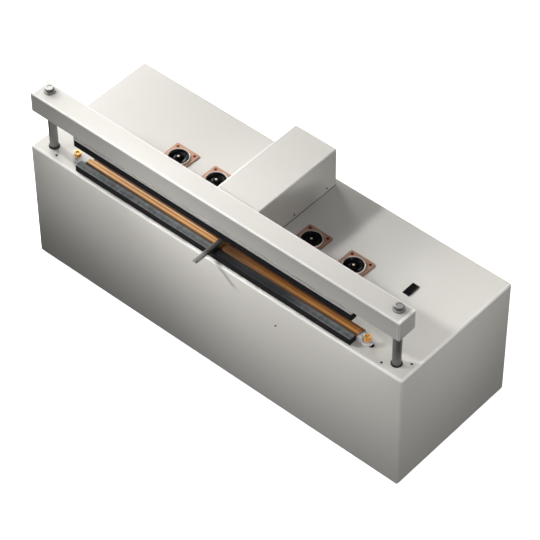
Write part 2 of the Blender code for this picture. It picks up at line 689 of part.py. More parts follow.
def rod_bushings():
    """A flanged bushing under the top sheet for each rod. Its wiper collar stands above the top."""
    flange_top = UNDERSIDE - SEAT_GAP
    flange_middle = flange_top - BUSHING_FLANGE_THICKNESS / 2
    collar_length = HOUSING_WALL + SEAT_GAP + WIPER_HEIGHT
    collar = (
        (0, collar_length), (WIPER_RADIUS - WIPER_CHAMFER, collar_length),
        (WIPER_RADIUS, collar_length - WIPER_CHAMFER), (WIPER_RADIUS, -BUSHING_FLANGE_THICKNESS / 2),
        (0, -BUSHING_FLANGE_THICKNESS / 2),
    )
    outline = rounded_outline(BUSHING_FLANGE_WIDTH, BUSHING_FLANGE_DEPTH, BUSHING_FLANGE_CORNER)
    for side, sign in SIDES:
        x = sign * ROD_X
        bush = prism(f"rod_bushing_{side}", outline, BUSHING_FLANGE_THICKNESS,
                     (x, ROD_Y, flange_middle), black_plastic("bushing"))
        join(bush, turned(f"join_collar_{side}", collar, (x, ROD_Y, flange_top)))
        start = flange_top - BUSHING_FLANGE_THICKNESS - OVERRUN
        through = BUSHING_FLANGE_THICKNESS + collar_length + 2 * OVERRUN
        cut(bush, rod_between(f"cut_bushing_{side}", ROD_RADIUS + SLIDE_GAP, (x, ROD_Y, start), through))
        for place, turn in (("front", -1), ("rear", 1)):
            spot = (x + turn * sign * BUSHING_SCREW_X, ROD_Y + turn * BUSHING_SCREW_Y)
            deep = BUSHING_SCREW_REACH - HOUSING_WALL + OVERRUN
            cut(bush, rod_between(f"cut_bushing_screw_{side}_{place}", BUSHING_SCREW_RADIUS + SEAT_GAP,
                                  (*spot, flange_top - deep), deep + OVERRUN / 2, steps=SMALL_ROUND_STEPS))


def bushing_screws():
    """Two small dark button-head screws hold each bushing, on opposite corners of its flange."""
    height = BUSHING_SCREW_HEAD_HEIGHT
    profile = (
        (0, height), (BUSHING_SCREW_HEAD_RADIUS / 2, height), (BUSHING_SCREW_HEAD_RADIUS, height / 2),
        (BUSHING_SCREW_HEAD_RADIUS, 0), (BUSHING_SCREW_RADIUS, 0),
        (BUSHING_SCREW_RADIUS, -BUSHING_SCREW_REACH), (0, -BUSHING_SCREW_REACH),
    )
    for side, sign in SIDES:
        for place, turn in (("front", -1), ("rear", 1)):
            x = sign * ROD_X + turn * sign * BUSHING_SCREW_X
            y = ROD_Y + turn * BUSHING_SCREW_Y
            turned(f"bushing_screw_{side}_{place}", profile, (x, y, TOP + SEAT_GAP),
                   steel("dark_screw"), steps=SMALL_ROUND_STEPS)


def jaw_cylinders():
    """An air cylinder under each bushing: a bored cup with an air port through its floor."""
    top = UNDERSIDE - SEAT_GAP - BUSHING_FLANGE_THICKNESS - SEAT_GAP
    inner = CYLINDER_RADIUS - CYLINDER_WALL
    profile = (
        (CYLINDER_PORT_RADIUS, 0), (CYLINDER_PORT_RADIUS, CYLINDER_WALL), (inner, CYLINDER_WALL),
        (inner, CYLINDER_LENGTH), (CYLINDER_RADIUS, CYLINDER_LENGTH), (CYLINDER_RADIUS, 0),
    )
    for side, sign in SIDES:
        spot = (sign * ROD_X, ROD_Y, top - CYLINDER_LENGTH)
        turned(f"jaw_cylinder_{side}", profile, spot, aluminium("jaw_cylinder"))


def jaw_pads(jaw):
    """The carrier under the beam, the front foam pad, and the backing strip over the seal bar."""
    half = PAD_LENGTH / 2
    carrier_top = BEAM_BOTTOM - SEAT_GAP
    carrier_bottom = carrier_top - CARRIER_THICKNESS
    pad_top = carrier_bottom - SEAT_GAP
    round_edges(
        block("pad_carrier", (-half, BEAM_FRONT, carrier_bottom),
              (half, BEAM_FRONT + CARRIER_DEPTH, carrier_top), powder_coat("pad_carrier"), jaw),
        CARRIER_EDGE_RADIUS,
    )
    round_edges(
        block("upper_pad", (-half, BEAM_FRONT, pad_top - UPPER_PAD_HEIGHT),
              (half, BEAM_FRONT + PAD_DEPTH, pad_top), rubber("upper_pad"), jaw),
        PAD_EDGE_RADIUS,
    )
    round_edges(
        block("seal_backing", (-half, SEAL_Y - BACKING_DEPTH / 2, pad_top - BACKING_HEIGHT),
              (half, SEAL_Y + BACKING_DEPTH / 2, pad_top), rubber("seal_backing"), jaw),
        PAD_EDGE_RADIUS,
    )


def lower_pad():
    """The foam pad on the front edge of the cabinet, under the upper pad and a little to its left."""
    low = (LOWER_PAD_SHIFT - PAD_LENGTH / 2, FRONT + LOWER_PAD_SETBACK, SEAL_BASE)
    high = (low[0] + PAD_LENGTH, low[1] + PAD_DEPTH, low[2] + LOWER_PAD_HEIGHT)
    return round_edges(block("lower_pad", low, high, rubber("lower_pad")), PAD_EDGE_RADIUS)


def crown_points(half_width, shoulder, crown, land):
    """From the right shoulder over the flat land to the left one, with an elliptic shoulder arc."""
    right = []
    for step in range(CROWN_STEPS + 1):
        angle = step / CROWN_STEPS * math.pi / 2
        across = land / 2 + (half_width - land / 2) * math.cos(angle)
        right.append((across, shoulder + (crown - shoulder) * math.sin(angle)))
    return right + [(-across, up) for across, up in reversed(right)]


def seal_bar():
    """The crowned aluminium bar under the film: a flat land for the ribbon, and a low foot behind."""
    half = SEAL_DEPTH / 2
    heel = half + SEAL_FOOT_DEPTH
    outline = [(heel, 0), (heel, SEAL_FOOT_HEIGHT), (half, SEAL_FOOT_HEIGHT)]
    outline += crown_points(half, SEAL_SHOULDER, SEAL_CROWN, SEAL_LAND) + [(-half, 0)]
    return prism("seal_bar", outline, SEAL_LENGTH, (0, SEAL_Y, SEAL_BASE), aluminium("seal_bar"), axis="X")


def heating_ribbon():
    """The flat resistance ribbon on the bar's land."""
    low = SEAL_BASE + SEAL_CROWN + SEAT_GAP
    half = SEAL_LENGTH / 2
    return block("heating_ribbon", (-half, SEAL_Y - RIBBON_WIDTH / 2, low),
                 (half, SEAL_Y + RIBBON_WIDTH / 2, low + RIBBON_THICKNESS), steel("ribbon"))


def seal_cover():
    """The woven non-stick film over the ribbon, the bar and its foot, open below and at both ends."""
    inner_half = SEAL_DEPTH / 2 + SEAT_GAP
    outer_half = inner_half + COVER_FILM
    inner_heel = inner_half + SEAL_FOOT_DEPTH
    outer_heel = outer_half + SEAL_FOOT_DEPTH
    inner_foot = SEAL_FOOT_HEIGHT + SEAT_GAP
    outer_foot = inner_foot + COVER_FILM
    inner_crown = SEAL_CROWN + RIBBON_THICKNESS + 2 * SEAT_GAP
    inner_land = SEAL_LAND + 2 * SEAT_GAP
    inner = crown_points(inner_half, SEAL_SHOULDER + SEAT_GAP, inner_crown, inner_land)
    outer = crown_points(outer_half, SEAL_SHOULDER + SEAT_GAP, inner_crown + COVER_FILM, inner_land)
    outline = [(outer_heel, 0), (outer_heel, outer_foot), (outer_half, outer_foot)] + outer
    outline += [(-outer_half, 0), (-inner_half, 0)] + list(reversed(inner))
    outline += [(inner_half, inner_foot), (inner_heel, inner_foot), (inner_heel, 0)]
    return prism("seal_cover", outline, SEAL_LENGTH, (0, SEAL_Y, SEAL_BASE), woven_film("seal_cover"),
                 axis="X")


def terminal_blocks():
    """White insulating mouldings: a block against the bar's end and a boss under the post."""
    for side, sign in SIDES:
        post_x = TERMINAL_PLACES[side]
        near = sign * (SEAL_LENGTH / 2 + SEAT_GAP)
        far = post_x - sign * (TERMINAL_BOSS_RADIUS - TERMINAL_BLOCK_OVERLAP)
        moulding = round_edges(
            block(
                f"terminal_block_{side}",
                (min(near, far), SEAL_Y - TERMINAL_BLOCK_DEPTH / 2, SEAL_BASE),
                (max(near, far), SEAL_Y + TERMINAL_BLOCK_DEPTH / 2, SEAL_BASE + TERMINAL_BLOCK_HEIGHT),
                white_plastic("terminal_block"),
            ),
            TERMINAL_EDGE_RADIUS,
        )
        top = TERMINAL_BOSS_HEIGHT
        inner = TERMINAL_BOSS_RADIUS - TERMINAL_EDGE_RADIUS
        boss = ((0, top), (inner, top), (TERMINAL_BOSS_RADIUS, top - TERMINAL_EDGE_RADIUS),
                (TERMINAL_BOSS_RADIUS, 0), (0, 0))
        join(moulding, turned(f"join_boss_{side}", boss, (post_x, TERMINAL_Y, SEAL_BASE)))
        cut(moulding, rod_between(f"cut_terminal_{side}", POST_RADIUS + SEAT_GAP,
                                  (post_x, TERMINAL_Y, SEAL_BASE - OVERRUN), top + 2 * OVERRUN,
                                  steps=SMALL_ROUND_STEPS))


def terminal_posts():
    """Brass studs through the top sheet, each with a flange on its boss and a spool-shaped nut."""
    flange = TERMINAL_BOSS_HEIGHT + SEAT_GAP
    nut_bottom = flange + POST_FLANGE_THICKNESS + SEAT_GAP
    stud_top = nut_bottom + POST_REACH_ABOVE
    stud_bottom = -SEAT_GAP - HOUSING_WALL - POST_REACH_BELOW
    post = (
        (0, stud_top), (POST_RADIUS, stud_top), (POST_RADIUS, flange + POST_FLANGE_THICKNESS),
        (POST_FLANGE_RADIUS, flange + POST_FLANGE_THICKNESS), (POST_FLANGE_RADIUS, flange),
        (POST_RADIUS, flange), (POST_RADIUS, stud_bottom), (0, stud_bottom),
    )
    bore = POST_RADIUS + SEAT_GAP
    shoulder = NUT_HEIGHT - NUT_FLANGE_HEIGHT
    floor = NUT_HEIGHT - NUT_RECESS_DEPTH
    nut = (
        (bore, 0), (bore, floor), (NUT_RECESS_RADIUS, floor), (NUT_RECESS_RADIUS, NUT_HEIGHT),
        (NUT_RADIUS - NUT_CHAMFER, NUT_HEIGHT), (NUT_RADIUS, NUT_HEIGHT - NUT_CHAMFER),
        (NUT_RADIUS, shoulder), (NUT_WAIST_RADIUS, shoulder - NUT_CHAMFER),
        (NUT_WAIST_RADIUS, NUT_FLANGE_HEIGHT / 2 + NUT_CHAMFER),
        (NUT_RADIUS - NUT_CHAMFER, NUT_FLANGE_HEIGHT / 2), (NUT_RADIUS - NUT_CHAMFER, 0),
    )
    for side, x in TERMINAL_PLACES.items():
        turned(f"terminal_post_{side}", post, (x, TERMINAL_Y, SEAL_BASE), brass("post"),
               steps=SMALL_ROUND_STEPS)
        turned(f"terminal_nut_{side}", nut, (x, TERMINAL_Y, SEAL_BASE + nut_bottom), brass("nut"),
               steps=SMALL_ROUND_STEPS)


def nozzle_cover():
    """The folded cover over the nozzle mechanism, with a slot in front for the nozzle."""
    half = COVER_WIDTH / 2
    base = TOP + SEAT_GAP
    front = FRONT + COVER_SETBACK
    rear = BACK - COVER_REAR_MARGIN
    case = folded_case("nozzle_cover", (-half, front, base), (half, rear, TOP + COVER_HEIGHT),
                       COVER_WALL, COVER_BEND_RADIUS, powder_coat("nozzle_cover"))
    half_slot = NOZZLE_WIDTH / 2 + COVER_SLOT_CLEARANCE
    low = NOZZLE_TOP - NOZZLE_THICKNESS - COVER_SLOT_CLEARANCE
    slot = block("cut_nozzle_slot", (-half_slot, front - OVERRUN, low),
                 (half_slot, front + COVER_WALL + OVERRUN, NOZZLE_TOP + COVER_SLOT_CLEARANCE))
    return cut(case, slot)


def tube_ring(shape, y, half_width, half_height, height, power):
    """One closed ring of a superellipse section, which turns from flat to round with its power."""
    ring = []
    for step in range(NOZZLE_STEPS):
        angle = step / NOZZLE_STEPS * math.tau
        across = math.copysign(abs(math.cos(angle)) ** (2 / power), math.cos(angle))
        up = math.copysign(abs(math.sin(angle)) ** (2 / power), math.sin(angle))
        ring.append(shape.verts.new((half_width * across, y, height + half_height * up)))
    return ring


def nozzle_tube(nozzle):
    """A tube pressed flat in front and left round at the back, lofted through its taper. Its upper
    side stays level, so that it clears the jaw all along."""
    flat = (NOZZLE_WIDTH / 2, NOZZLE_THICKNESS / 2, FLAT_POWER)
    pipe = (NOZZLE_PIPE_RADIUS, NOZZLE_PIPE_RADIUS, ROUND_POWER)
    stations = [(FRONT - NOZZLE_OVERHANG, 0)]
    for step in range(NOZZLE_TAPER_STEPS + 1):
        share = step / NOZZLE_TAPER_STEPS
        setback = NOZZLE_TAPER_START + share * (NOZZLE_TAPER_END - NOZZLE_TAPER_START)
        stations.append((FRONT + setback, (1 - math.cos(share * math.pi)) / 2))
    stations.append((FRONT + NOZZLE_REAR_SETBACK, 1))
    shape = bmesh.new()
    rings = []
    for wall, order in ((0, stations), (NOZZLE_WALL, list(reversed(stations)))):
        for y, blend in order:
            half_width, half_height, power = (a + (b - a) * blend for a, b in zip(flat, pipe))
            centre = NOZZLE_TOP - half_height
            rings.append(tube_ring(shape, y, half_width - wall, half_height - wall, centre, power))
    for first, second in zip(rings, rings[1:] + rings[:1]):
        for step in range(NOZZLE_STEPS):
            following = (step + 1) % NOZZLE_STEPS
            shape.faces.new((first[step], first[following], second[following], second[step]))
    mesh = mesh_from("nozzle_tube", shape, True)
    return place_object("nozzle_tube", mesh, (0, 0, 0), steel("nozzle"), nozzle)


def nozzle_guide():
    """Base, two brackets and two rails, welded into one frame inside the nozzle cover."""
    floor = TOP + SEAT_GAP
    front = GUIDE_FRONT
    rear = GUIDE_REAR
    half = GUIDE_BASE_WIDTH / 2
    bracket = GUIDE_BRACKET_WIDTH / 2
    frame = block("nozzle_guide", (-half, front, floor), (half, rear, floor + GUIDE_BASE_THICKNESS),
                  aluminium("nozzle_guide"))
    low = floor + GUIDE_BASE_THICKNESS / 2
    join(
        frame,
        block("join_front_bracket", (-bracket, front, low),
              (bracket, front + GUIDE_BRACKET_THICKNESS, TOP + GUIDE_BRACKET_TALL)),
        block("join_rear_bracket", (-bracket, rear - GUIDE_BRACKET_THICKNESS, low),
              (bracket, rear, TOP + GUIDE_BRACKET_SHORT)),
    )
    start = front + GUIDE_BRACKET_THICKNESS / 2
    length = rear - front - GUIDE_BRACKET_THICKNESS
    for side, sign in SIDES:
        spot = (sign * RAIL_SPACING / 2, start, TOP + RAIL_LIFT)
        join(frame, rod_between(f"join_rail_{side}", RAIL_RADIUS, spot, length, axis="Y",
                                steps=SMALL_ROUND_STEPS))
    half_slot = NOZZLE_WIDTH / 2 + COVER_SLOT_CLEARANCE
    slot_bottom = NOZZLE_TOP - 2 * NOZZLE_PIPE_RADIUS - COVER_SLOT_CLEARANCE
    slot_rear = front + GUIDE_BRACKET_THICKNESS + OVERRUN
    return cut(frame, block("cut_guide_slot", (-half_slot, front - OVERRUN, slot_bottom),
                            (half_slot, slot_rear, NOZZLE_TOP + COVER_SLOT_CLEARANCE)))


def nozzle_carriage(nozzle):
    """The slider on the two rails. It grips the nozzle, and its arm carries the cylinder's rod."""
    half = CARRIAGE_WIDTH / 2
    front = FRONT + CARRIAGE_SETBACK
    rear = front + CARRIAGE_LENGTH
    slider = round_edges(
        block("nozzle_carriage", (-half, front, TOP + CARRIAGE_BOTTOM_LIFT),
              (half, rear, TOP + CARRIAGE_TOP_LIFT), aluminium("nozzle_carriage"), nozzle),
        CARRIAGE_EDGE_RADIUS,
    )
    arm_front = rear - ARM_THICKNESS
    join(slider, block("join_arm", (-ARM_WIDTH / 2, arm_front, TOP + CARRIAGE_TOP_LIFT - OVERRUN),
                       (ARM_WIDTH / 2, rear - CARRIAGE_EDGE_RADIUS, TOP + ARM_TOP_LIFT)))
    rod_start = FRONT + PUSH_ROD_FRONT_SETBACK
    join(slider, rod_between("join_push_rod", PUSH_ROD_RADIUS, (0, rod_start, TOP + PUSH_ROD_LIFT),
                             arm_front + ARM_THICKNESS / 2 - rod_start, axis="Y", steps=SMALL_ROUND_STEPS))
    long = CARRIAGE_LENGTH + 2 * OVERRUN
    for side, sign in SIDES:
        spot = (sign * RAIL_SPACING / 2, front - OVERRUN, TOP + RAIL_LIFT)
        cut(slider, rod_between(f"cut_rail_bore_{side}", RAIL_RADIUS + SLIDE_GAP, spot, long, axis="Y",
                                steps=SMALL_ROUND_STEPS))
    grip = (0, front - OVERRUN, NOZZLE_TOP - NOZZLE_PIPE_RADIUS)
    cut(slider, rod_between("cut_nozzle_grip", NOZZLE_PIPE_RADIUS + SEAT_GAP, grip, long, axis="Y"))
    return slider


def nozzle_cylinder():
    """The small air cylinder above the carriage, screwed to the tall bracket, bored for the rod."""
    front = GUIDE_FRONT + GUIDE_BRACKET_THICKNESS + SEAT_GAP
    length = FRONT + NOZZLE_CYLINDER_REAR_SETBACK - front
    inner = NOZZLE_CYLINDER_RADIUS - NOZZLE_CYLINDER_WALL
    mouth = PUSH_ROD_RADIUS + SLIDE_GAP
    profile = (
        (0, NOZZLE_CYLINDER_WALL), (inner, NOZZLE_CYLINDER_WALL),
        (inner, length - 2 * NOZZLE_CYLINDER_WALL), (mouth, length - 2 * NOZZLE_CYLINDER_WALL),
        (mouth, length), (NOZZLE_CYLINDER_RADIUS, length),
        (NOZZLE_CYLINDER_RADIUS, 0), (0, 0),
    )
    spot = (0, front, TOP + PUSH_ROD_LIFT)
    return turned("nozzle_cylinder", profile, spot, aluminium("nozzle_cylinder"), axis="Y",
                  steps=SMALL_ROUND_STEPS)


def dial(place, x):
    """One dial: its square plate, the body whose rim and well show, and the dished knob."""
    plate_bottom = TOP + SEAT_GAP
    plate_top = plate_bottom + DIAL_PLATE_THICKNESS
    outline = rounded_outline(DIAL_PLATE_SIDE, DIAL_PLATE_SIDE, DIAL_PLATE_CORNER)
    plate = prism(f"dial_plate_{place}", outline, DIAL_PLATE_THICKNESS,
                  (x, DIAL_Y, plate_bottom + DIAL_PLATE_THICKNESS / 2), copper("dial_plate"))
    through = DIAL_PLATE_THICKNESS + 2 * OVERRUN
    start = plate_bottom - OVERRUN
    cut(plate, rod_between(f"cut_plate_{place}", DIAL_NECK_RADIUS + SEAT_GAP, (x, DIAL_Y, start), through))
    hole_offset = DIAL_PLATE_HOLE_SPACING / 2
    for number, (side_x, side_y) in enumerate(((1, 1), (-1, 1), (-1, -1), (1, -1))):
        spot = (x + side_x * hole_offset, DIAL_Y + side_y * hole_offset, start)
        cut(plate, rod_between(f"cut_plate_{place}_{number}", DIAL_PLATE_HOLE_RADIUS, spot, through,
                               steps=SMALL_ROUND_STEPS))
    seat = plate_top + SEAT_GAP
    rim = DIAL_RIM_HEIGHT
    neck_bottom = UNDERSIDE - SEAT_GAP - seat
    shaft = DIAL_SHAFT_RADIUS + SLIDE_GAP
    shaft_floor = -DIAL_WELL_DEPTH - DIAL_SHAFT_LENGTH - SLIDE_GAP
    body = (
        (0, shaft_floor), (shaft, shaft_floor), (shaft, -DIAL_WELL_DEPTH),
        (DIAL_WELL_RADIUS, -DIAL_WELL_DEPTH), (DIAL_WELL_RADIUS, rim),
        (DIAL_RIM_RADIUS - DIAL_RIM_CHAMFER, rim), (DIAL_RIM_RADIUS, rim - DIAL_RIM_CHAMFER),
        (DIAL_RIM_RADIUS, 0), (DIAL_NECK_RADIUS, 0),
        (DIAL_NECK_RADIUS, neck_bottom - DIAL_WELL_DEPTH),
        (DIAL_BODY_RADIUS, neck_bottom - DIAL_WELL_DEPTH),
        (DIAL_BODY_RADIUS, -DIAL_BODY_DEPTH), (0, -DIAL_BODY_DEPTH),
    )
    turned(f"dial_body_{place}", body, (x, DIAL_Y, seat), aluminium("dial_body"))
    knob_bottom = -DIAL_WELL_DEPTH + SLIDE_GAP
    knob = (
        (0, KNOB_HUB_TOP), (KNOB_HUB_RADIUS - KNOB_HUB_CHAMFER, KNOB_HUB_TOP),
        (KNOB_HUB_RADIUS, KNOB_HUB_TOP - KNOB_HUB_CHAMFER), (KNOB_HUB_RADIUS, KNOB_DISH_TOP),
        (KNOB_RADIUS - KNOB_RIM_WIDTH, KNOB_DISH_TOP), (KNOB_RADIUS - KNOB_RIM_WIDTH / 2, KNOB_RIM_TOP),
        (KNOB_RADIUS - KNOB_RIM_WIDTH / 4, KNOB_RIM_TOP), (KNOB_RADIUS, KNOB_RIM_TOP / 2),
        (KNOB_RADIUS, knob_bottom), (DIAL_SHAFT_RADIUS, knob_bottom),
        (DIAL_SHAFT_RADIUS, knob_bottom - DIAL_SHAFT_LENGTH), (0, knob_bottom - DIAL_SHAFT_LENGTH),
    )
    axis = joint_empty(f"dial_axis_{place}", (x, DIAL_Y, seat))
    turned(f"dial_knob_{place}", knob, (x, DIAL_Y, seat), black_plastic("dial_knob"), axis)


def power_switch():
    """The switch frame with its window, and the rocker that tips on a pin across the window."""
    y = SWITCH_Y
    flange_bottom = TOP + SEAT_GAP
    outline = rounded_outline(SWITCH_WIDTH, SWITCH_LENGTH, SWITCH_CORNER_RADIUS)
    frame = prism("switch_frame", outline, SWITCH_FLANGE_HEIGHT,
                  (SWITCH_X, y, flange_bottom + SWITCH_FLANGE_HEIGHT / 2), black_plastic("switch_frame"))
    body_width = SWITCH_WIDTH / 2 - SWITCH_FLANGE_LIP
    body_length = SWITCH_LENGTH / 2 - SWITCH_FLANGE_LIP
    join(frame, block("join_switch_body", (SWITCH_X - body_width, y - body_length, TOP - SWITCH_BODY_DEPTH),
                      (SWITCH_X + body_width, y + body_length, flange_bottom + SWITCH_FLANGE_HEIGHT / 2)))
    window_width = body_width - SWITCH_FLANGE_LIP / 2
    window_length = body_length - SWITCH_FLANGE_LIP / 2
    cut(frame, block("cut_window", (SWITCH_X - window_width, y - window_length, TOP - SWITCH_WINDOW_DEPTH),
                     (SWITCH_X + window_width, y + window_length, TOP + OVERRUN * 2)))
    reach = window_length - 2 * SLIDE_GAP
    reach = math.sqrt(reach ** 2 - ROCKER_END_HEIGHT ** 2)
    outline = [(-reach, -ROCKER_KEEL), (reach, -ROCKER_KEEL), (reach, ROCKER_END_HEIGHT),
               (0, ROCKER_CROWN - ROCKER_KEEL / 2), (-reach, ROCKER_END_HEIGHT)]
    axis = joint_empty("rocker_axis", (SWITCH_X, y, TOP - ROCKER_AXIS_DROP))
    prism("power_rocker", outline, 2 * (window_width - SLIDE_GAP), tuple(axis.location),
          black_plastic("rocker"), axis, "X", (-ROCKER_TILT, 0, 0))


def transformer():
    """The sealing transformer: a laminated core with two windows, and the coil on its middle limb."""
    y = TRANSFORMER_Y
    base = FLOOR_TOP + SEAT_GAP
    half = TRANSFORMER_WIDTH / 2
    deep = TRANSFORMER_DEPTH / 2
    core = block("transformer", (TRANSFORMER_X - half, y - deep, base),
                 (TRANSFORMER_X + half, y + deep, base + TRANSFORMER_HEIGHT), steel("transformer"))
    coil_half = half - TRANSFORMER_LIMB - SEAT_GAP
    coil_reach = deep + COIL_PROUD
    coil_bottom = base + TRANSFORMER_LIMB + OVERRUN / 2
    coil_top = base + TRANSFORMER_HEIGHT - TRANSFORMER_LIMB - OVERRUN / 2
    coil = block("join_coil", (TRANSFORMER_X - coil_half, y - coil_reach, coil_bottom),
                 (TRANSFORMER_X + coil_half, y + coil_reach, coil_top))
    return join(core, round_edges(coil, COIL_EDGE_RADIUS))


def valve_manifold():
    """A manifold bar with a row of solenoid valves standing on it."""
    y = MANIFOLD_Y
    base = FLOOR_TOP + SEAT_GAP
    half = VALVE_COUNT * VALVE_PITCH / 2
    bar = block("valve_manifold", (MANIFOLD_X - half, y - MANIFOLD_DEPTH / 2, base),
                (MANIFOLD_X + half, y + MANIFOLD_DEPTH / 2, base + MANIFOLD_HEIGHT), aluminium("manifold"))
    for number in range(VALVE_COUNT):
        x = MANIFOLD_X - half + (number + 1 / 2) * VALVE_PITCH
        join(bar, block(f"join_valve_{number}",
                        (x - VALVE_WIDTH / 2, y - VALVE_DEPTH / 2, base + MANIFOLD_HEIGHT / 2),
                        (x + VALVE_WIDTH / 2, y + VALVE_DEPTH / 2, base + MANIFOLD_HEIGHT + VALVE_HEIGHT)))
    return bar


def vacuum_generator():
    """The venturi that draws the air: a body on a foot block, with its silencer at one end."""
    y = GENERATOR_Y
    base = FLOOR_TOP + SEAT_GAP
    half = GENERATOR_BLOCK_LENGTH / 2
    height = base + GENERATOR_BLOCK_HEIGHT / 2
    foot = block("vacuum_generator", (-half, y - GENERATOR_BLOCK_DEPTH / 2, base),
                 (half, y + GENERATOR_BLOCK_DEPTH / 2, base + GENERATOR_BLOCK_HEIGHT),
                 aluminium("vacuum_generator"))
    silencer = GENERATOR_LENGTH - GENERATOR_SILENCER_LENGTH
    profile = (
        (GENERATOR_BORE_RADIUS, 0), (GENERATOR_BORE_RADIUS, GENERATOR_LENGTH),
        (GENERATOR_SILENCER_RADIUS, GENERATOR_LENGTH), (GENERATOR_SILENCER_RADIUS, silencer),
        (GENERATOR_RADIUS, silencer), (GENERATOR_RADIUS, 0),
    )
    spot = (-GENERATOR_LENGTH / 2, y, height)
    body = turned("join_venturi", profile, spot, axis="X")
    bore = rod_between("cut_venturi", GENERATOR_BORE_RADIUS, (spot[0] - OVERRUN, y, height),
                       GENERATOR_LENGTH + 2 * OVERRUN, axis="X")
    return cut(join(foot, body), bore)


def air_inlet():
    """The quick-release plug for compressed air, screwed through the back from outside."""
    wall = BACK - HOUSING_WALL
    face = HOUSING_WALL + AIR_INLET_INSIDE + SEAT_GAP
    end = AIR_INLET_INSIDE + HOUSING_WALL + AIR_INLET_REACH
    nut_end = face + AIR_NUT_THICKNESS
    span = end - nut_end
    profile = (
        (AIR_INLET_BORE_RADIUS, 0), (AIR_INLET_BORE_RADIUS, end), (AIR_PLUG_NECK_RADIUS, end),
        (AIR_PLUG_TIP_RADIUS, nut_end + AIR_PLUG_TIP_SHARE * span),
        (AIR_PLUG_NECK_RADIUS, nut_end + AIR_PLUG_COLLAR_SHARE * span),
        (AIR_PLUG_NECK_RADIUS, nut_end + AIR_PLUG_NECK_SHARE * span),
        (AIR_PLUG_RADIUS, nut_end + AIR_PLUG_NECK_SHARE * span), (AIR_PLUG_RADIUS, face),
        (AIR_THREAD_RADIUS, face), (AIR_THREAD_RADIUS, 0),
    )
    spot = (AIR_INLET_X, wall - AIR_INLET_INSIDE, AIR_INLET_HEIGHT)
    plug = turned("air_inlet", profile, spot, brass("air_inlet"), axis="Y", steps=SMALL_ROUND_STEPS)
    nut = ((AIR_THREAD_RADIUS - OVERRUN, face), (AIR_THREAD_RADIUS - OVERRUN, nut_end),
           (AIR_NUT_RADIUS, nut_end), (AIR_NUT_RADIUS, face))
    return join(plug, turned("join_air_nut", nut, spot, axis="Y", steps=HEX_STEPS))


def cord_gland():
    """The gland for the mains cord: a threaded stem, a hexagon and a domed clamping nut, bored."""
    wall = BACK - HOUSING_WALL
    face = GLAND_INSIDE + HOUSING_WALL + SEAT_GAP
    end = GLAND_INSIDE + HOUSING_WALL + GLAND_REACH
    nut_end = face + GLAND_NUT_THICKNESS
    dome = (end + nut_end) / 2
    profile = (
        (GLAND_BORE_RADIUS, 0), (GLAND_BORE_RADIUS, end), (GLAND_TIP_RADIUS, end),
        (GLAND_DOME_RADIUS, dome), (GLAND_DOME_RADIUS, face), (GLAND_THREAD_RADIUS, face),
        (GLAND_THREAD_RADIUS, 0),
    )
    spot = (GLAND_X, wall - GLAND_INSIDE, GLAND_HEIGHT)
    gland = turned("cord_gland", profile, spot, black_plastic("cord_gland"), axis="Y",
                   steps=SMALL_ROUND_STEPS)
    inner = (GLAND_BORE_RADIUS + GLAND_THREAD_RADIUS) / 2
    nut = ((inner, face), (inner, nut_end), (GLAND_NUT_RADIUS, nut_end), (GLAND_NUT_RADIUS, face))
    return join(gland, turned("join_gland_nut", nut, spot, axis="Y", steps=HEX_STEPS))


def build():
    for thing in list(bpy.data.objects):
        bpy.data.objects.remove(thing, do_unlink=True)
    housing_shell()
    base_plate()
    feet()
    rod_bushings()
    bushing_screws()
    jaw_cylinders()
    lower_pad()
    seal_bar()
    heating_ribbon()
    seal_cover()
    terminal_blocks()
    terminal_posts()
    nozzle_cover()
    nozzle_guide()
    nozzle_cylinder()
    transformer()
    valve_manifold()
    vacuum_generator()
    air_inlet()
    cord_gland()
    for place, x in DIAL_PLACES:
        dial(place, x)
    power_switch()
    jaw = joint_empty("jaw_slide", (0, ROD_Y, BEAM_BOTTOM))
    jaw_beam(jaw)
    beam_end_caps(jaw)
    piston_rods(jaw)
    rod_bolts(jaw)
    jaw_pads(jaw)
    nozzle = joint_empty("nozzle_slide", (0, FRONT, NOZZLE_TOP))
    nozzle_carriage(nozzle)
    nozzle_tube(nozzle)


build()
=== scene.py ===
"""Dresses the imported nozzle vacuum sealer: powder-coated sheet and tube, foam and rubber pads,
woven non-stick film, brass terminals, copper dial plates and glossy black knobs.

Metres throughout, in the part's own frame. A grid is an array of points with one row for each
station and one column for each place round the section. A line is a row of (radius, height) or
(across, up) pairs.
"""

import math

import bmesh
import bpy
import numpy as np
from mathutils import Matrix, Vector


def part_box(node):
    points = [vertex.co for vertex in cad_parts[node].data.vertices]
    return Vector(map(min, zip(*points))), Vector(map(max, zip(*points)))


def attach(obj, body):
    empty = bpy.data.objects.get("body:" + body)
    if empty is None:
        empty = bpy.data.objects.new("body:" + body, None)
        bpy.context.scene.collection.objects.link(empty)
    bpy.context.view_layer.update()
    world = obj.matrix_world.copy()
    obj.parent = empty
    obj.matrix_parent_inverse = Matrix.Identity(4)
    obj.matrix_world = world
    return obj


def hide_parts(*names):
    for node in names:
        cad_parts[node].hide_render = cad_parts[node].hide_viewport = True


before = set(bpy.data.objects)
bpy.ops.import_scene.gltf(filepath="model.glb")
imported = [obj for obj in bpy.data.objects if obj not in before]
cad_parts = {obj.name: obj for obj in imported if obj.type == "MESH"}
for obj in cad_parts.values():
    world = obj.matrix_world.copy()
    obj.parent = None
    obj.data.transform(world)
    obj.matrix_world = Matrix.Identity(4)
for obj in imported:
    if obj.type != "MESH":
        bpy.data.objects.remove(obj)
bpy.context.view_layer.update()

MM = 0.001
TAU = math.tau
# Points closer than MERGE are made one, and edges over the SHARP angle stay crisp
MERGE = 0.005 * MM
SHARP = math.radians(32)
SIDES = ("left", "right")
DIALS = ("left_outer", "left_inner", "right_inner", "right_outer")


# Places and small sums

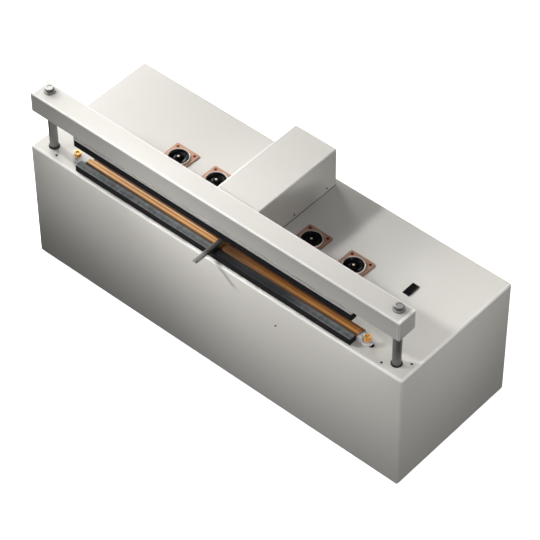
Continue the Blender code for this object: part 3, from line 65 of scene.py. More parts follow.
def corners(node):
    """The lowest and highest corner of a CAD node."""
    low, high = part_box(node)
    return np.array(low), np.array(high)


def easing(share):
    """Smooth rise from 0 to 1: 3 s^2 - 2 s^3."""
    share = np.clip(share, 0, 1)
    return share * share * (3 - 2 * share)


def ripple(along, waves, seed):
    """A calm uneven line: the mean of a few sines with seeded lengths and phases, from -1 to 1."""
    draw = np.random.default_rng(seed)
    pitch = draw.uniform(0.6, 1.6, waves)[:, None]
    phase = draw.uniform(0, TAU, waves)[:, None]
    return np.sin(along[None, :] * pitch + phase).mean(axis=0)


def angles(steps):
    """Angles round a full circle, as one row."""
    return np.linspace(0, TAU, steps, endpoint=False)[None, :]


# Lines and sections

# The largest share of a side that a corner's curve takes
MOST_CUT = 0.46


def eased(points, cut, steps=4, loop=False):
    """A line with each corner P turned into the curve (1-t)^2 A + 2t(1-t) P + t^2 B, where A and B
    lie on its two sides at the distance cut, or at just under half of a shorter side."""
    p = np.asarray(points, float)
    back = np.roll(p, 1, axis=0) - p
    ahead = np.roll(p, -1, axis=0) - p
    back_length = np.linalg.norm(back, axis=1, keepdims=True)
    ahead_length = np.linalg.norm(ahead, axis=1, keepdims=True)
    reach = np.minimum(cut, MOST_CUT * np.minimum(back_length, ahead_length))
    a = p + back / np.maximum(back_length, MERGE) * reach
    b = p + ahead / np.maximum(ahead_length, MERGE) * reach
    t = np.linspace(0, 1, steps + 1)[None, :, None]
    bends = (1 - t) ** 2 * a[:, None] + 2 * t * (1 - t) * p[:, None] + t ** 2 * b[:, None]
    if loop:
        return bends.reshape(-1, p.shape[1])
    return np.vstack([p[:1], bends[1:-1].reshape(-1, p.shape[1]), p[-1:]])


def rounded_rectangle(width, height, radius, steps):
    """A closed outline: four quarter circles, each about its own corner's centre."""
    quarter = np.linspace(0, math.pi / 2, steps + 1)
    turn = (np.arange(4)[:, None] * math.pi / 2 + quarter).ravel()
    side = np.repeat([[1, 1], [-1, 1], [-1, -1], [1, -1]], steps + 1, axis=0)
    centre = side * (np.array([width, height]) / 2 - radius)
    return centre + radius * np.stack([np.cos(turn), np.sin(turn)], axis=1)


def superellipse(half_width, half_height, power, steps):
    """|x/a|^p + |y/b|^p = 1, by the powered cosine and sine. There is one ring for each entry of
    the three arrays."""
    turn = angles(steps)
    power = power[:, None]
    across = np.sign(np.cos(turn)) * np.abs(np.cos(turn)) ** (2 / power)
    up = np.sign(np.sin(turn)) * np.abs(np.sin(turn)) ** (2 / power)
    return half_width[:, None] * across, half_height[:, None] * up


# Grids of points

def lathe(profile, place, steps, axis="Z"):
    """A (radius, height) line spun about an axis: (r cos a, r sin a, h) at every angle a."""
    line = np.asarray(profile, float)
    turn = angles(steps)
    x = line[:, :1] * np.cos(turn)
    y = line[:, :1] * np.sin(turn)
    z = np.broadcast_to(line[:, 1:2], x.shape)
    order = {"Z": (x, y, z), "Y": (y, z, x), "X": (z, x, y)}[axis]
    return np.stack(order, axis=-1) + np.asarray(place, float)


def fluted(grid, depth, count, where):
    """Draws a spun grid in by the share depth (1/2 + 1/2 cos n a) of its radius, where it is asked."""
    waves = 0.5 + 0.5 * np.cos(count * angles(grid.shape[1]))
    grid[..., :2] *= (1 - depth * where * waves)[..., None]
    return grid


def carried(section, stations, rim=0.0):
    """A closed (across, up) section carried along X. Within the rim of either end it draws in by
    rim times 1 - sqrt(1 - s^2), which rounds the end's edge to a quarter circle."""
    draw = np.zeros(len(stations))
    if rim:
        to_end = np.minimum(stations - stations[0], stations[-1] - stations)
        share = np.clip(1 - to_end / rim, 0, 1)
        draw = rim * (1 - np.sqrt(1 - share ** 2))
    size = np.maximum(np.abs(section)[None] - draw[:, None, None], 0)
    across, up = np.moveaxis(np.sign(section)[None] * size, -1, 0)
    along = np.broadcast_to(stations[:, None], across.shape)
    return np.stack([along, across, up], axis=-1)


def end_stations(low, high, rim, rim_steps=5, middle_steps=2):
    """Places along a bar, close together where its two ends are rounded."""
    near = rim * (1 - np.cos(np.linspace(0, math.pi / 2, rim_steps + 1)))
    body = np.linspace(low + rim, high - rim, middle_steps + 1)[1:-1]
    return np.concatenate([low + near, body, (high - near)[::-1]])


def pulled_sphere(low, high, radius, steps=4):
    """A block with round edges: a sphere cut in eight and pulled apart to the block's corners. Each
    point is its corner's centre plus the radius times (cos b cos a, cos b sin a, sin b)."""
    low, high = np.asarray(low, float), np.asarray(high, float)
    quarter = np.linspace(0, math.pi / 2, steps + 1)
    a = (np.arange(4)[:, None] * math.pi / 2 + quarter).ravel()[None, :]
    b = np.concatenate([quarter - math.pi / 2, quarter])[:, None]
    side_x = np.repeat([1, -1, -1, 1], steps + 1)[None, :]
    side_y = np.repeat([1, 1, -1, -1], steps + 1)[None, :]
    side_z = np.repeat([-1, 1], steps + 1)[:, None]
    half = (high - low) / 2 - radius
    full = np.ones((len(b), a.shape[1]))
    x = side_x * half[0] + radius * np.cos(b) * np.cos(a)
    y = side_y * half[1] + radius * np.cos(b) * np.sin(a)
    z = (side_z * half[2] + radius * np.sin(b)) * full
    return np.stack([x, y, z], axis=-1) + (low + high) / 2


# Grids into pieces

def faces_of(grid, start, ring, ends):
    """Four-cornered faces between neighbours of a grid. A ring joins its last row to its first, and
    otherwise each end row is closed by one face, if ends is set."""
    rows, columns = grid.shape[:2]
    index = start + np.arange(rows * columns).reshape(rows, columns)
    lower = index if ring else index[:-1]
    upper = np.roll(index, -1, axis=0) if ring else index[1:]
    quads = np.stack(
        [lower, np.roll(lower, -1, axis=1), np.roll(upper, -1, axis=1), upper], axis=-1
    )
    faces = quads.reshape(-1, 4).tolist()
    if ends and not ring:
        faces += [index[0, ::-1].tolist(), index[-1].tolist()]
    return faces


def piece(name, parts, look, body="cabinet", stands_for=(), sharp=SHARP, flat_look=True):
    """One object from one or more (grid, ring) parts. Doubles are merged, which closes the poles,
    then the normals are made to point out, and edges over the sharp angle stay crisp."""
    points, faces = [], []
    for grid, ring in parts:
        start = sum(len(p) for p in points)
        faces += faces_of(grid, start, ring, ends=True)
        points.append(grid.reshape(-1, 3))
    mesh = bpy.data.meshes.new(name)
    mesh.from_pydata(np.concatenate(points), [], faces)
    tidy(mesh, sharp)
    return dress(bpy.data.objects.new(name, mesh), look, body, stands_for, flat_look)


def tidy(mesh, sharp):
    """Merges doubled points, turns the faces outwards, and shades smooth up to the sharp angle."""
    shape = bmesh.new()
    shape.from_mesh(mesh)
    bmesh.ops.remove_doubles(shape, verts=shape.verts, dist=MERGE)
    bmesh.ops.recalc_face_normals(shape, faces=shape.faces)
    shape.to_mesh(mesh)
    shape.free()
    mesh.shade_smooth()
    mesh.set_sharp_from_angle(angle=sharp)


def dress(obj, look, body, stands_for=(), flat_look=True):
    """Gives a piece its material and body, and hides the nodes that it stands for."""
    bpy.context.scene.collection.objects.link(obj)
    obj.data.materials.clear()
    obj.data.materials.append(look)
    if flat_look:
        even = obj.modifiers.new("even flats", "WEIGHTED_NORMAL")
        even.keep_sharp = True
    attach(obj, body)
    if stands_for:
        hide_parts(*stands_for)
    return obj


def smooth_copy(node, name, look):
    """A CAD node's own shape with its loose triangles merged, so that its bends shade smoothly."""
    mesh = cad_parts[node].data.copy()
    mesh.name = name
    tidy(mesh, SHARP)
    return dress(bpy.data.objects.new(name, mesh), look, "cabinet", (node,))


# Materials

# How much a box's upright edges count, and how far up a normal points before a face counts as a top
UPRIGHT_SHARE = 0.3
UP_STARTS, UP_ENDS = 0.6, 0.9


class Finish:
    """A Principled material and short ways to add the nodes that give it its detail."""

    def __init__(self, name, **sockets):
        self.material = bpy.data.materials.new(name)
        self.material.use_nodes = True
        self.nodes = self.material.node_tree.nodes
        self.links = self.material.node_tree.links
        self.shader = self.nodes["Principled BSDF"]
        self.place = self.nodes.new("ShaderNodeTexCoord").outputs["Object"]
        self.last_bump = None
        for socket, value in sockets.items():
            self.shader.inputs[socket.replace("_", " ")].default_value = value

    def join(self, output, node_input):
        self.links.new(output, node_input)

    def stretched(self, scale):
        """Object coordinates multiplied by a scale for each axis."""
        mapping = self.nodes.new("ShaderNodeMapping")
        mapping.inputs["Scale"].default_value = scale
        self.join(self.place, mapping.inputs["Vector"])
        return mapping.outputs["Vector"]

    def noise(self, scale, detail=2.0, rough=0.5, where=None):
        """Cloudy noise, finer with a larger scale."""
        node = self.nodes.new("ShaderNodeTexNoise")
        node.inputs["Scale"].default_value = scale
        node.inputs["Detail"].default_value = detail
        node.inputs["Roughness"].default_value = rough
        self.join(where or self.place, node.inputs["Vector"])
        return node.outputs["Fac"]

    def cells(self, scale):
        """The distance to the nearest of many scattered points."""
        node = self.nodes.new("ShaderNodeTexVoronoi")
        node.inputs["Scale"].default_value = scale
        self.join(self.place, node.inputs["Vector"])
        return node.outputs["Distance"]

    def wave(self, scale, direction, distortion=0.0):
        """Soft bands that follow each other along one direction."""
        node = self.nodes.new("ShaderNodeTexWave")
        node.bands_direction = direction
        node.inputs["Scale"].default_value = scale
        node.inputs["Distortion"].default_value = distortion
        self.join(self.place, node.inputs["Vector"])
        return node.outputs["Fac"]

    def ranged(self, value, low, high, to_low, to_high):
        """The value's span from low to high spread over another span, and held at its ends."""
        node = self.nodes.new("ShaderNodeMapRange")
        for socket, number in (
            ("From Min", low), ("From Max", high), ("To Min", to_low), ("To Max", to_high),
        ):
            node.inputs[socket].default_value = number
        self.join(value, node.inputs["Value"])
        return node.outputs["Result"]

    def rise(self, value, low, high):
        """0 up to low, 1 from high on, and a straight rise between."""
        return self.ranged(value, low, high, 0, 1)

    def blend(self, share, first, second):
        """A colour from first to second by the share. Either may be a colour or an output."""
        node = self.nodes.new("ShaderNodeMix")
        node.data_type = "RGBA"
        self.join(share, node.inputs["Factor"])
        for socket, colour in ((node.inputs["A"], first), (node.inputs["B"], second)):
            if isinstance(colour, tuple):
                socket.default_value = (*colour, 1)
            else:
                self.join(colour, socket)
        return node.outputs["Result"]

    def of_two(self, operation, first, second):
        """One number worked out from two."""
        node = self.nodes.new("ShaderNodeMath")
        node.operation = operation
        self.join(first, node.inputs[0])
        self.join(second, node.inputs[1])
        return node.outputs["Value"]

    def product(self, first, second):
        return self.of_two("MULTIPLY", first, second)

    def larger(self, first, second):
        return self.of_two("MAXIMUM", first, second)

    def along(self, letter):
        """One Object coordinate, in metres."""
        node = self.nodes.new("ShaderNodeSeparateXYZ")
        self.join(self.place, node.inputs["Vector"])
        return node.outputs[letter]

    def box_edges(self, low, high, reach):
        """Near 1 along a box's edges: the largest product of two of the three shares s(|p - c|),
        where s rises from 0 to 1 over the last bit of each half size. Upright edges count less."""
        centre = [(a + b) / 2 for a, b in zip(low, high)]
        mapping = self.nodes.new("ShaderNodeMapping")
        mapping.inputs["Location"].default_value = [-value for value in centre]
        self.join(self.place, mapping.inputs["Vector"])
        size = self.nodes.new("ShaderNodeVectorMath")
        size.operation = "ABSOLUTE"
        self.join(mapping.outputs["Vector"], size.inputs[0])
        parts = self.nodes.new("ShaderNodeSeparateXYZ")
        self.join(size.outputs["Vector"], parts.inputs["Vector"])
        shares = []
        for letter, a, b in zip("XYZ", low, high):
            half = (b - a) / 2
            shares.append(self.rise(parts.outputs[letter], half - reach, half - reach / 2))
        x, y, z = shares
        upright = self.ranged(self.product(x, y), 0, 1, 0, UPRIGHT_SHARE)
        return self.larger(upright, self.larger(self.product(y, z), self.product(x, z)))

    def band(self, value, low, high, ramp):
        """1 between two values, rising and falling over a ramp inside each."""
        inside = self.rise(value, low, low + ramp)
        return self.product(inside, self.ranged(value, high - ramp, high, 1, 0))

    def line_at(self, value, place, half):
        """1 where the value is within half of a place, and 0 elsewhere."""
        node = self.nodes.new("ShaderNodeMath")
        node.operation = "COMPARE"
        node.inputs[1].default_value = place
        node.inputs[2].default_value = half
        self.join(value, node.inputs[0])
        return node.outputs["Value"]

    def facing_up(self):
        """Near 1 where the surface faces up."""
        node = self.nodes.new("ShaderNodeSeparateXYZ")
        geometry = self.nodes.new("ShaderNodeNewGeometry")
        self.join(geometry.outputs["Normal"], node.inputs["Vector"])
        return self.rise(node.outputs["Z"], UP_STARTS, UP_ENDS)

    def colour(self, output):
        self.join(output, self.shader.inputs["Base Color"])

    def roughness(self, output):
        self.join(output, self.shader.inputs["Roughness"])

    def bump(self, height, depth, strength=1.0):
        """Adds a height in metres to the shading. Each one builds on the one before."""
        node = self.nodes.new("ShaderNodeBump")
        node.inputs["Distance"].default_value = depth
        node.inputs["Strength"].default_value = strength
        self.join(height, node.inputs["Height"])
        if self.last_bump:
            self.join(self.last_bump, node.inputs["Normal"])
        self.last_bump = node.outputs["Normal"]
        self.join(self.last_bump, self.shader.inputs["Normal"])


def times(tint, share):
    """A colour made darker or brighter."""
    return tuple(share * part for part in tint)


# The paint's own colour, a paler colour painted along its edges as highlight, and how much its roughness
# varies
PAINT_TINT = (0.80, 0.785, 0.755)
PAINT_EDGE_HIGHLIGHT = (0.97, 0.965, 0.95)
PAINT_UNEVEN = 0.015


def powder_coat(name, bends=None, tint=PAINT_TINT, gloss=0.24, reach=4.6 * MM):
    """Warm light-grey polyester powder: fine orange-peel and faint cloudiness, and a painted highlight
    along the bends, the edges of a box, which are made paler."""
    made = Finish(name, Specular_IOR_Level=0.5)
    cloudy = made.product(made.noise(5, detail=3, rough=0.55), made.noise(900))
    tone = made.blend(cloudy, times(tint, 0.97), times(tint, 1.02))
    if bends:
        # Painted highlight: the colour is paler along the box's edges
        tone = made.blend(made.box_edges(*bends, reach), tone, PAINT_EDGE_HIGHLIGHT)
    made.colour(tone)
    made.roughness(made.ranged(made.noise(14), 0.3, 0.7, gloss - PAINT_UNEVEN, gloss + PAINT_UNEVEN))
    made.bump(made.noise(650, detail=1), 0.04 * MM, strength=0.5)
    return made.material


# Painted shade: the dark colour of the nozzle's rear, where it lies under the jaw
NOZZLE_REAR_SHADE = (0.12, 0.12, 0.115)


def ground_steel(name, tint, gloss, lay="Z", pitch=2600, dull=None, rear_shade_span=None):
    """Steel with fine lines across its length from grinding or turning, and a few dull patches. A pair
    of places along Y may be given: from the first to the second the colour darkens, and behind it
    stays dark, painted shade."""
    made = Finish(name, Metallic=1.0)
    patch = made.noise(90, detail=3)
    tone = made.blend(patch, dull or times(tint, 0.82), tint)
    if rear_shade_span:
        tone = made.blend(made.rise(made.along("Y"), *rear_shade_span), tone, NOZZLE_REAR_SHADE)
    made.colour(tone)
    made.roughness(made.ranged(patch, 0.3, 0.75, gloss, gloss + 0.14))
    made.bump(made.wave(pitch, lay, distortion=1.5), 0.01 * MM, strength=0.35)
    return made.material


def zinc_plate(name):
    """Zinc-plated hardware: satin and slightly crystalline, with painted shade: its upright sides are
    painted dull dark.
    """
    made = Finish(name, Metallic=0.5)
    grain = made.cells(900)
    top = made.blend(grain, (0.44, 0.44, 0.43), (0.56, 0.56, 0.55))
    # Painted shade: upright sides near black, tops pale
    made.colour(made.blend(made.facing_up(), (0.13, 0.13, 0.125), top))
    made.roughness(made.ranged(made.noise(260, detail=3), 0.3, 0.7, 0.42, 0.54))
    made.bump(grain, 0.01 * MM, strength=0.3)
    return made.material


def aluminium(name):
    """Milled and brushed aluminium."""
    made = Finish(name, Metallic=0.9)
    brush = made.noise(1, detail=4, rough=0.6, where=made.stretched((30, 1600, 1600)))
    made.colour(made.blend(brush, (0.56, 0.565, 0.57), (0.72, 0.72, 0.72)))
    made.roughness(made.ranged(brush, 0.25, 0.75, 0.32, 0.5))
    made.bump(brush, 0.01 * MM, strength=0.3)
    return made.material


def brass(name, tint, side_shade, shine):
    """Turned brass: circular tool lines, and painted light: bright on top, and browner down its
    sides as painted shade, in patches.
    """
    made = Finish(name, Metallic=shine)
    patch = made.noise(150)
    paler_side_shade = tuple(0.7 * a + 0.3 * b for a, b in zip(side_shade, tint))
    side = made.blend(made.rise(patch, 0.35, 0.65), side_shade, paler_side_shade)
    # Painted light: tops take the bright tint, sides the painted shade
    made.colour(made.blend(made.facing_up(), side, tint))
    made.roughness(made.ranged(patch, 0.3, 0.7, 0.34, 0.48))
    made.bump(made.wave(1500, "Z", distortion=0.6), 0.006 * MM, strength=0.3)
    return made.material


def dial_plate(name):
    """Copper-toned anodised plate: fine brushing along X, and its cut edges painted dark and
    reddish as shade.
    """
    made = Finish(name, Metallic=0.3)
    brush = made.noise(1, detail=4, rough=0.6, where=made.stretched((60, 2200, 2200)))
    face = made.blend(brush, (0.46, 0.25, 0.17), (0.62, 0.38, 0.28))
    # Painted shade: the plate's upright edges are dark reddish
    made.colour(made.blend(made.facing_up(), (0.13, 0.045, 0.025), face))
    made.roughness(made.ranged(brush, 0.25, 0.75, 0.36, 0.5))
    made.bump(brush, 0.012 * MM, strength=0.4)
    return made.material


def pale_rim(name):
    """Anodised ring with a pinkish cast, turned smooth."""
    made = Finish(name, Metallic=0.35)
    tone = made.noise(80)
    made.colour(made.blend(tone, (0.74, 0.64, 0.57), (0.92, 0.84, 0.77)))
    made.roughness(made.ranged(tone, 0.3, 0.7, 0.3, 0.4))
    made.bump(made.wave(900, "Z"), 0.005 * MM, strength=0.3)
    return made.material


def plastic(name, tint, gloss, grain=0.02 * MM, shine=0.5):
    """Moulded plastic: faint flow marks and a fine eroded grain."""
    made = Finish(name, Specular_IOR_Level=shine)
    made.colour(made.blend(made.noise(35, detail=3), times(tint, 0.85), times(tint, 1.12)))
    made.roughness(made.ranged(made.noise(160, detail=4), 0.3, 0.7, 0.8 * gloss, 1.3 * gloss))
    made.bump(made.noise(2400, detail=1), grain, strength=0.3)
    return made.material


def milky_plastic(name):
    """Natural nylon for the insulators, cloudy and pale."""
    made = Finish(name, Specular_IOR_Level=0.5)
    made.colour(made.blend(made.noise(120, detail=3), (0.60, 0.63, 0.64), (0.80, 0.82, 0.82)))
    made.roughness(made.ranged(made.noise(300, detail=3), 0.3, 0.7, 0.3, 0.45))
    made.bump(made.noise(1500, detail=1), 0.02 * MM, strength=0.3)
    return made.material


def silicone(name):
    """Dense black silicone strip with a dusting of talc."""
    made = Finish(name, Specular_IOR_Level=0.4)
    dust = made.noise(70, detail=4, rough=0.65)
    made.colour(made.blend(made.rise(dust, 0.5, 0.8), (0.013, 0.013, 0.014), (0.05, 0.05, 0.055)))
    made.roughness(made.ranged(dust, 0.3, 0.8, 0.42, 0.75))
    made.bump(made.noise(800), 0.03 * MM, strength=0.4)
    return made.material


def foam(name, base, top=None):
    """Closed-cell sponge with fine open cells at its cut skin. Top is the three colours of a marked
    top, press marks, pale skin and painted shadow, which foam_top spreads over it."""
    made = Finish(name, Roughness=0.9, Specular_IOR_Level=0.25)
    tone = made.blend(made.noise(260, detail=4), times(base, 0.55), times(base, 1.7))
    if top:
        tone = made.blend(made.facing_up(), tone, foam_top(made, base, *top))
    made.colour(tone)
    made.bump(made.cells(1100), 0.18 * MM, strength=0.6)
    made.bump(made.noise(240), 0.2 * MM, strength=0.3)
    return made.material


# The press marks' front and rear ends along Y, and how softly they end
DASH_BAND = (-166 * MM, -158.5 * MM, 1 * MM)


def foam_top(made, base, dash_tone, pale, painted_shadow_tone):
    """A pale, cloudy top with a band of short crosswise press marks, and painted shade: darker towards
    the nozzle from the left, a painted shadow to the right of the nozzle and black painted shadow
    close beside it."""
    place = made.along("X")
    past_nozzle = made.rise(place, -4 * MM, 6 * MM)
    # Painted shade and shadow: darker towards the nozzle from the left, a painted shadow to its right, and
    # black close beside it
    pad_falloff_left = made.ranged(place, -300 * MM, 0, 0, 0.25)
    pad_shadow_right = made.product(past_nozzle, made.ranged(place, 190 * MM, 300 * MM, 1, 0))
    black = made.product(past_nozzle, made.ranged(place, 20 * MM, 80 * MM, 0.9, 0))
    skin = made.noise(1, detail=3, rough=0.6, where=made.stretched((160, 60, 60)))
    tone = made.blend(made.rise(skin, 0.35, 0.65), times(pale, 0.6), pale)
    tone = made.blend(made.larger(pad_shadow_right, pad_falloff_left), tone, painted_shadow_tone)
    tone = made.blend(black, tone, base)
    dash = made.rise(made.wave(90, "X", distortion=0.8), 0.55, 0.85)
    dash = made.product(dash, made.ranged(made.noise(90), 0.35, 0.5, 0.3, 1))
    dash = made.product(dash, made.band(made.along("Y"), *DASH_BAND))
    return made.blend(dash, tone, dash_tone)


# The film's colours. A pair is for its left and its right; the change from one to the other is painted light,
# falling off from left to right.
FILM_DULL = ((0.62, 0.25, 0.06), (0.30, 0.105, 0.016))
FILM_BRIGHT = ((0.90, 0.47, 0.17), (0.55, 0.235, 0.05))
# Painted highlight along the crown, left and right
FILM_CROWN_HIGHLIGHT = ((1.0, 0.62, 0.28), (0.66, 0.31, 0.08))
# Painted light on the rear slope, lit on the left and shaded on the right
FILM_REAR_SLOPE_LIGHT = ((1.0, 0.76, 0.44), (0.34, 0.14, 0.03))
# Painted shadow to the right of the nozzle, further on and close beside it
FILM_FAR_SHADOW = (0.10, 0.03, 0.005)
FILM_NEAR_SHADOW = (0.04, 0.012, 0.002)
# Painted shade down the flanks
FILM_FLANK_SHADE = (0.14, 0.05, 0.01)
# A thin dark line along the crease
FILM_DARK_LINE = (0.09, 0.03, 0.006)
FILM_THREAD = (0.30, 0.10, 0.02)


def film_tones_and_painted_light(made, place, across, front):
    """Lengthwise streaks, with painted light: pale amber on the left and browner on the right as the
    light falls off, a painted highlight along its crown, and behind that a painted rear slope, paler
    still on the left and darker on the right."""
    # Painted light falling off from left to right
    side = made.rise(place, -350 * MM, 150 * MM)
    fine = made.noise(1, detail=3, rough=0.6, where=made.stretched((9, 520, 300)))
    streak = made.rise(fine, 0.36, 0.64)
    tone = made.blend(streak, made.blend(side, *FILM_DULL), made.blend(side, *FILM_BRIGHT))
    # Painted highlight along the crown
    crown = made.band(across, front + 3.5 * MM, front + 11 * MM, 2.5 * MM)
    tone = made.blend(made.ranged(crown, 0, 1, 0, 0.85), tone, made.blend(side, *FILM_CROWN_HIGHLIGHT))
    # Painted light on the rear slope: lit on the left, shaded on the right
    behind = made.ranged(across, front + 13 * MM, front + 17 * MM, 0, 0.8)
    half = made.rise(place, -50 * MM, 80 * MM)
    return made.blend(behind, tone, made.blend(half, *FILM_REAR_SLOPE_LIGHT))


def film_painted_shadow(made, place, across, front, rear, tone):
    """Painted shadow to the right of the nozzle, deepest close beside it and lighter further on, and
    painted shade down both flanks.
    """
    past_nozzle = made.rise(place, 2 * MM, 10 * MM)
    # Painted shadow to the right of the nozzle: far fades out by 340 mm, near is the deep part close beside
    # it
    far = made.product(past_nozzle, made.ranged(place, 100 * MM, 340 * MM, 0.45, 0))
    near = made.product(past_nozzle, made.ranged(place, 35 * MM, 110 * MM, 0.8, 0))
    tone = made.blend(near, made.blend(far, tone, FILM_FAR_SHADOW), FILM_NEAR_SHADOW)
    # Painted shade down both flanks, outside the crown
    inside = made.rise(across, front + 3.5 * MM, front + 6.5 * MM)
    inside = made.product(inside, made.ranged(across, rear - 1.5 * MM, rear + 0.5 * MM, 1, 0))
    return made.blend(inside, FILM_FLANK_SHADE, tone)


def woven_film(name, front, rear, line_place):
    """Glass cloth in brown non-stick film: threads 0.8 mm apart both ways, a soft gloss, and a thin
    dark line along the crease at the ribbon's edge. Front, rear and the line are places along Y."""
    made = Finish(name, Specular_IOR_Level=0.3)
    weave = made.product(made.wave(200, "X"), made.wave(200, "Y"))
    place = made.along("X")
    across = made.along("Y")
    tone = film_tones_and_painted_light(made, place, across, front)
    tone = film_painted_shadow(made, place, across, front, rear, tone)
    dark_line = made.line_at(across, line_place, 0.5 * MM)
    tone = made.blend(made.ranged(dark_line, 0, 1, 0, 0.8), tone, FILM_DARK_LINE)
    tone = made.blend(made.ranged(weave, 0, 0.5, 0, 0.10), tone, FILM_THREAD)
    made.colour(tone)
    made.roughness(made.ranged(weave, 0, 1, 0.42, 0.56))
    made.bump(weave, 0.06 * MM, strength=0.5)
    return made.material


FAR_OFF = 1.0


def open_box(node, back=0.0):
    """A node's box with its underside, and if asked its back, pushed far off, so that the painted
    highlight lies only along the edges that are left."""
    low, high = corners(node)
    return low - (0, 0, FAR_OFF), high + (0, back, 0)


PAINT = powder_coat("cabinet_powder_coat", open_box("housing_shell", FAR_OFF), reach=6.5 * MM)
COVER_PAINT = powder_coat("cover_powder_coat", open_box("nozzle_cover"))
# The beam's paint: the cabinet's coat made darker, painted shade for the beam's front
BEAM_SHADED_PAINT = powder_coat("beam_shaded_powder_coat", open_box("jaw_beam"), (0.72, 0.705, 0.68))
# The end caps' paint: the same coat made much darker, painted shade for the beam's ends
CAP_SHADED_PAINT = powder_coat("cap_shaded_powder_coat", open_box("jaw_beam"), (0.52, 0.51, 0.49))
CARRIER_PAINT = powder_coat("carrier_powder_coat", tint=(0.60, 0.595, 0.58), gloss=0.4)
ROD_STEEL = ground_steel("rod_ground_steel", (0.30, 0.30, 0.29), 0.45)
PLATE_STEEL = ground_steel("base_plate_zinc", (0.52, 0.53, 0.54), 0.36, "X", 300)
# The nozzle's rear is painted dark: painted shade under the jaw
NOZZLE_STEEL = ground_steel(
    "nozzle_stainless", (0.42, 0.415, 0.405), 0.36, "X", 900,
    dull=(0.33, 0.327, 0.318), rear_shade_span=(-191 * MM, -181 * MM),
)
RIBBON_STEEL = ground_steel("ribbon_alloy", (0.40, 0.38, 0.36), 0.3, "Y", 900)
CORE_STEEL = ground_steel("transformer_laminations", (0.22, 0.22, 0.23), 0.42, "Y", 400)
BLACK_STEEL = ground_steel("blackened_screw", (0.05, 0.05, 0.052), 0.4)
ZINC = zinc_plate("zinc_hardware")
ALUMINIUM = aluminium("brushed_aluminium")
RIM_METAL = pale_rim("dial_rim_metal")
NUT_BRASS = brass("turned_brass", (1.0, 0.74, 0.24), (0.80, 0.22, 0.015), 0.5)
FITTING_BRASS = brass("fitting_brass", (0.86, 0.66, 0.34), (0.66, 0.44, 0.18), 0.9)
CAP_METAL = brass("knob_cap_metal", (0.92, 0.82, 0.70), (0.80, 0.66, 0.52), 0.6)
DIAL_COPPER = dial_plate("copper_dial_plate")
RIVET_RED = ground_steel("oxide_red_rivet", (0.20, 0.03, 0.02), 0.3)
KNOB_BLACK = plastic("glossy_black_knob", (0.004, 0.004, 0.005), 0.22, grain=0.004 * MM, shine=0.1)
SWITCH_BLACK = plastic("satin_black_switch", (0.003, 0.003, 0.0035), 0.4, shine=0.2)
BUSHING_BLACK = plastic("black_acetal", (0.007, 0.007, 0.010), 0.36)
GLAND_BLACK = plastic("black_nylon_gland", (0.014, 0.014, 0.015), 0.42)
MILKY = milky_plastic("milky_nylon")
# Dark bead colour, standing in for the shadow where the cover meets the top
CONTACT_SHADE_BEAD = plastic("dark_contact_bead", (0.10, 0.098, 0.095), 0.5)
FOOT_RUBBER = silicone("foot_rubber")
BACKING = silicone("black_silicone")
UPPER_FOAM = foam("upper_pad_sponge", (0.006, 0.007, 0.010))
# The top's colours: press marks, pale skin, and the painted shadow beside the nozzle
LOWER_FOAM = foam(
    "lower_pad_sponge", (0.006, 0.006, 0.007),
    top=((0.025, 0.028, 0.034), (0.28, 0.30, 0.31), (0.052, 0.056, 0.060)),
)
FILM = woven_film("woven_non_stick_film", front=-150.5 * MM, rear=-130.5 * MM, line_place=-137.4 * MM)


# Cabinet

# Lines in millimetres, with the radius or the way out first and the height second
BEAD_LINE = ((-1.5, 0.0), (-1.5, 0.9), (0.15, 0.9), (0.75, 0.6), (1.0, 0.0))
SCREW_LINE = ((0, 0.9), (2.0, 0.9), (2.4, 0.2), (2.4, -0.4), (0, -0.4))
SOCKET_LINE = ((0, 0.3), (0.9, 0.3), (1.0, 0.9))
COVER_CORNER = 4.0
FOOT_TOP, FOOT_SOLE = 16 * MM, 14 * MM
POCKET, POCKET_DEPTH = 4 * MM, 3 * MM
FRONT_SCREW_X, FRONT_SCREW_HEIGHT = 0.1814, 0.2482
COVER_SCREWS_Y, COVER_SCREW_HEIGHT = (0.0264, 0.1291), 0.3312


def cabinet():
    """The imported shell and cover, with their folds shaded smoothly."""
    smooth_copy("housing_shell", "cabinet_shell", PAINT)
    smooth_copy("nozzle_cover", "cover_shell", COVER_PAINT)


def cover_bead():
    """A dark bead where the cover meets the top, standing in for the shadow along that seam: a small
    section carried round the cover's foot, each of its points as a rounded rectangle that much larger
    or smaller."""
    low, high = corners("nozzle_cover")
    seat = corners("housing_shell")[1][2]
    width, depth = (high - low)[:2]
    rings = []
    for out, up in BEAD_LINE:
        spread = 2 * out * MM
        outline = rounded_rectangle(width + spread, depth + spread, (COVER_CORNER + out) * MM, 6)
        outline = outline + ((low + high) / 2)[:2]
        rings.append(np.column_stack([outline, np.full(len(outline), seat + up * MM)]))
    piece("cover_foot_bead", [(np.stack(rings), True)], CONTACT_SHADE_BEAD)


def feet():
    """Turned rubber feet: a tapered side with a rolled sole and a countersunk screw pocket."""
    for end in ("front", "rear"):
        for side in SIDES:
            node = f"foot_{end}_{side}"
            low, high = corners(node)
            x, y, _ = (low + high) / 2
            top = high[2]
            line = eased(
                [(0, top), (FOOT_TOP, top), (FOOT_SOLE, 0), (POCKET, 0), (POCKET, POCKET_DEPTH),
                 (0, POCKET_DEPTH)],
                0.8 * MM,
            )
            piece(f"rubber_{node}", [(lathe(line, (x, y, 0), 40), False)], FOOT_RUBBER,
                  stands_for=(node,))


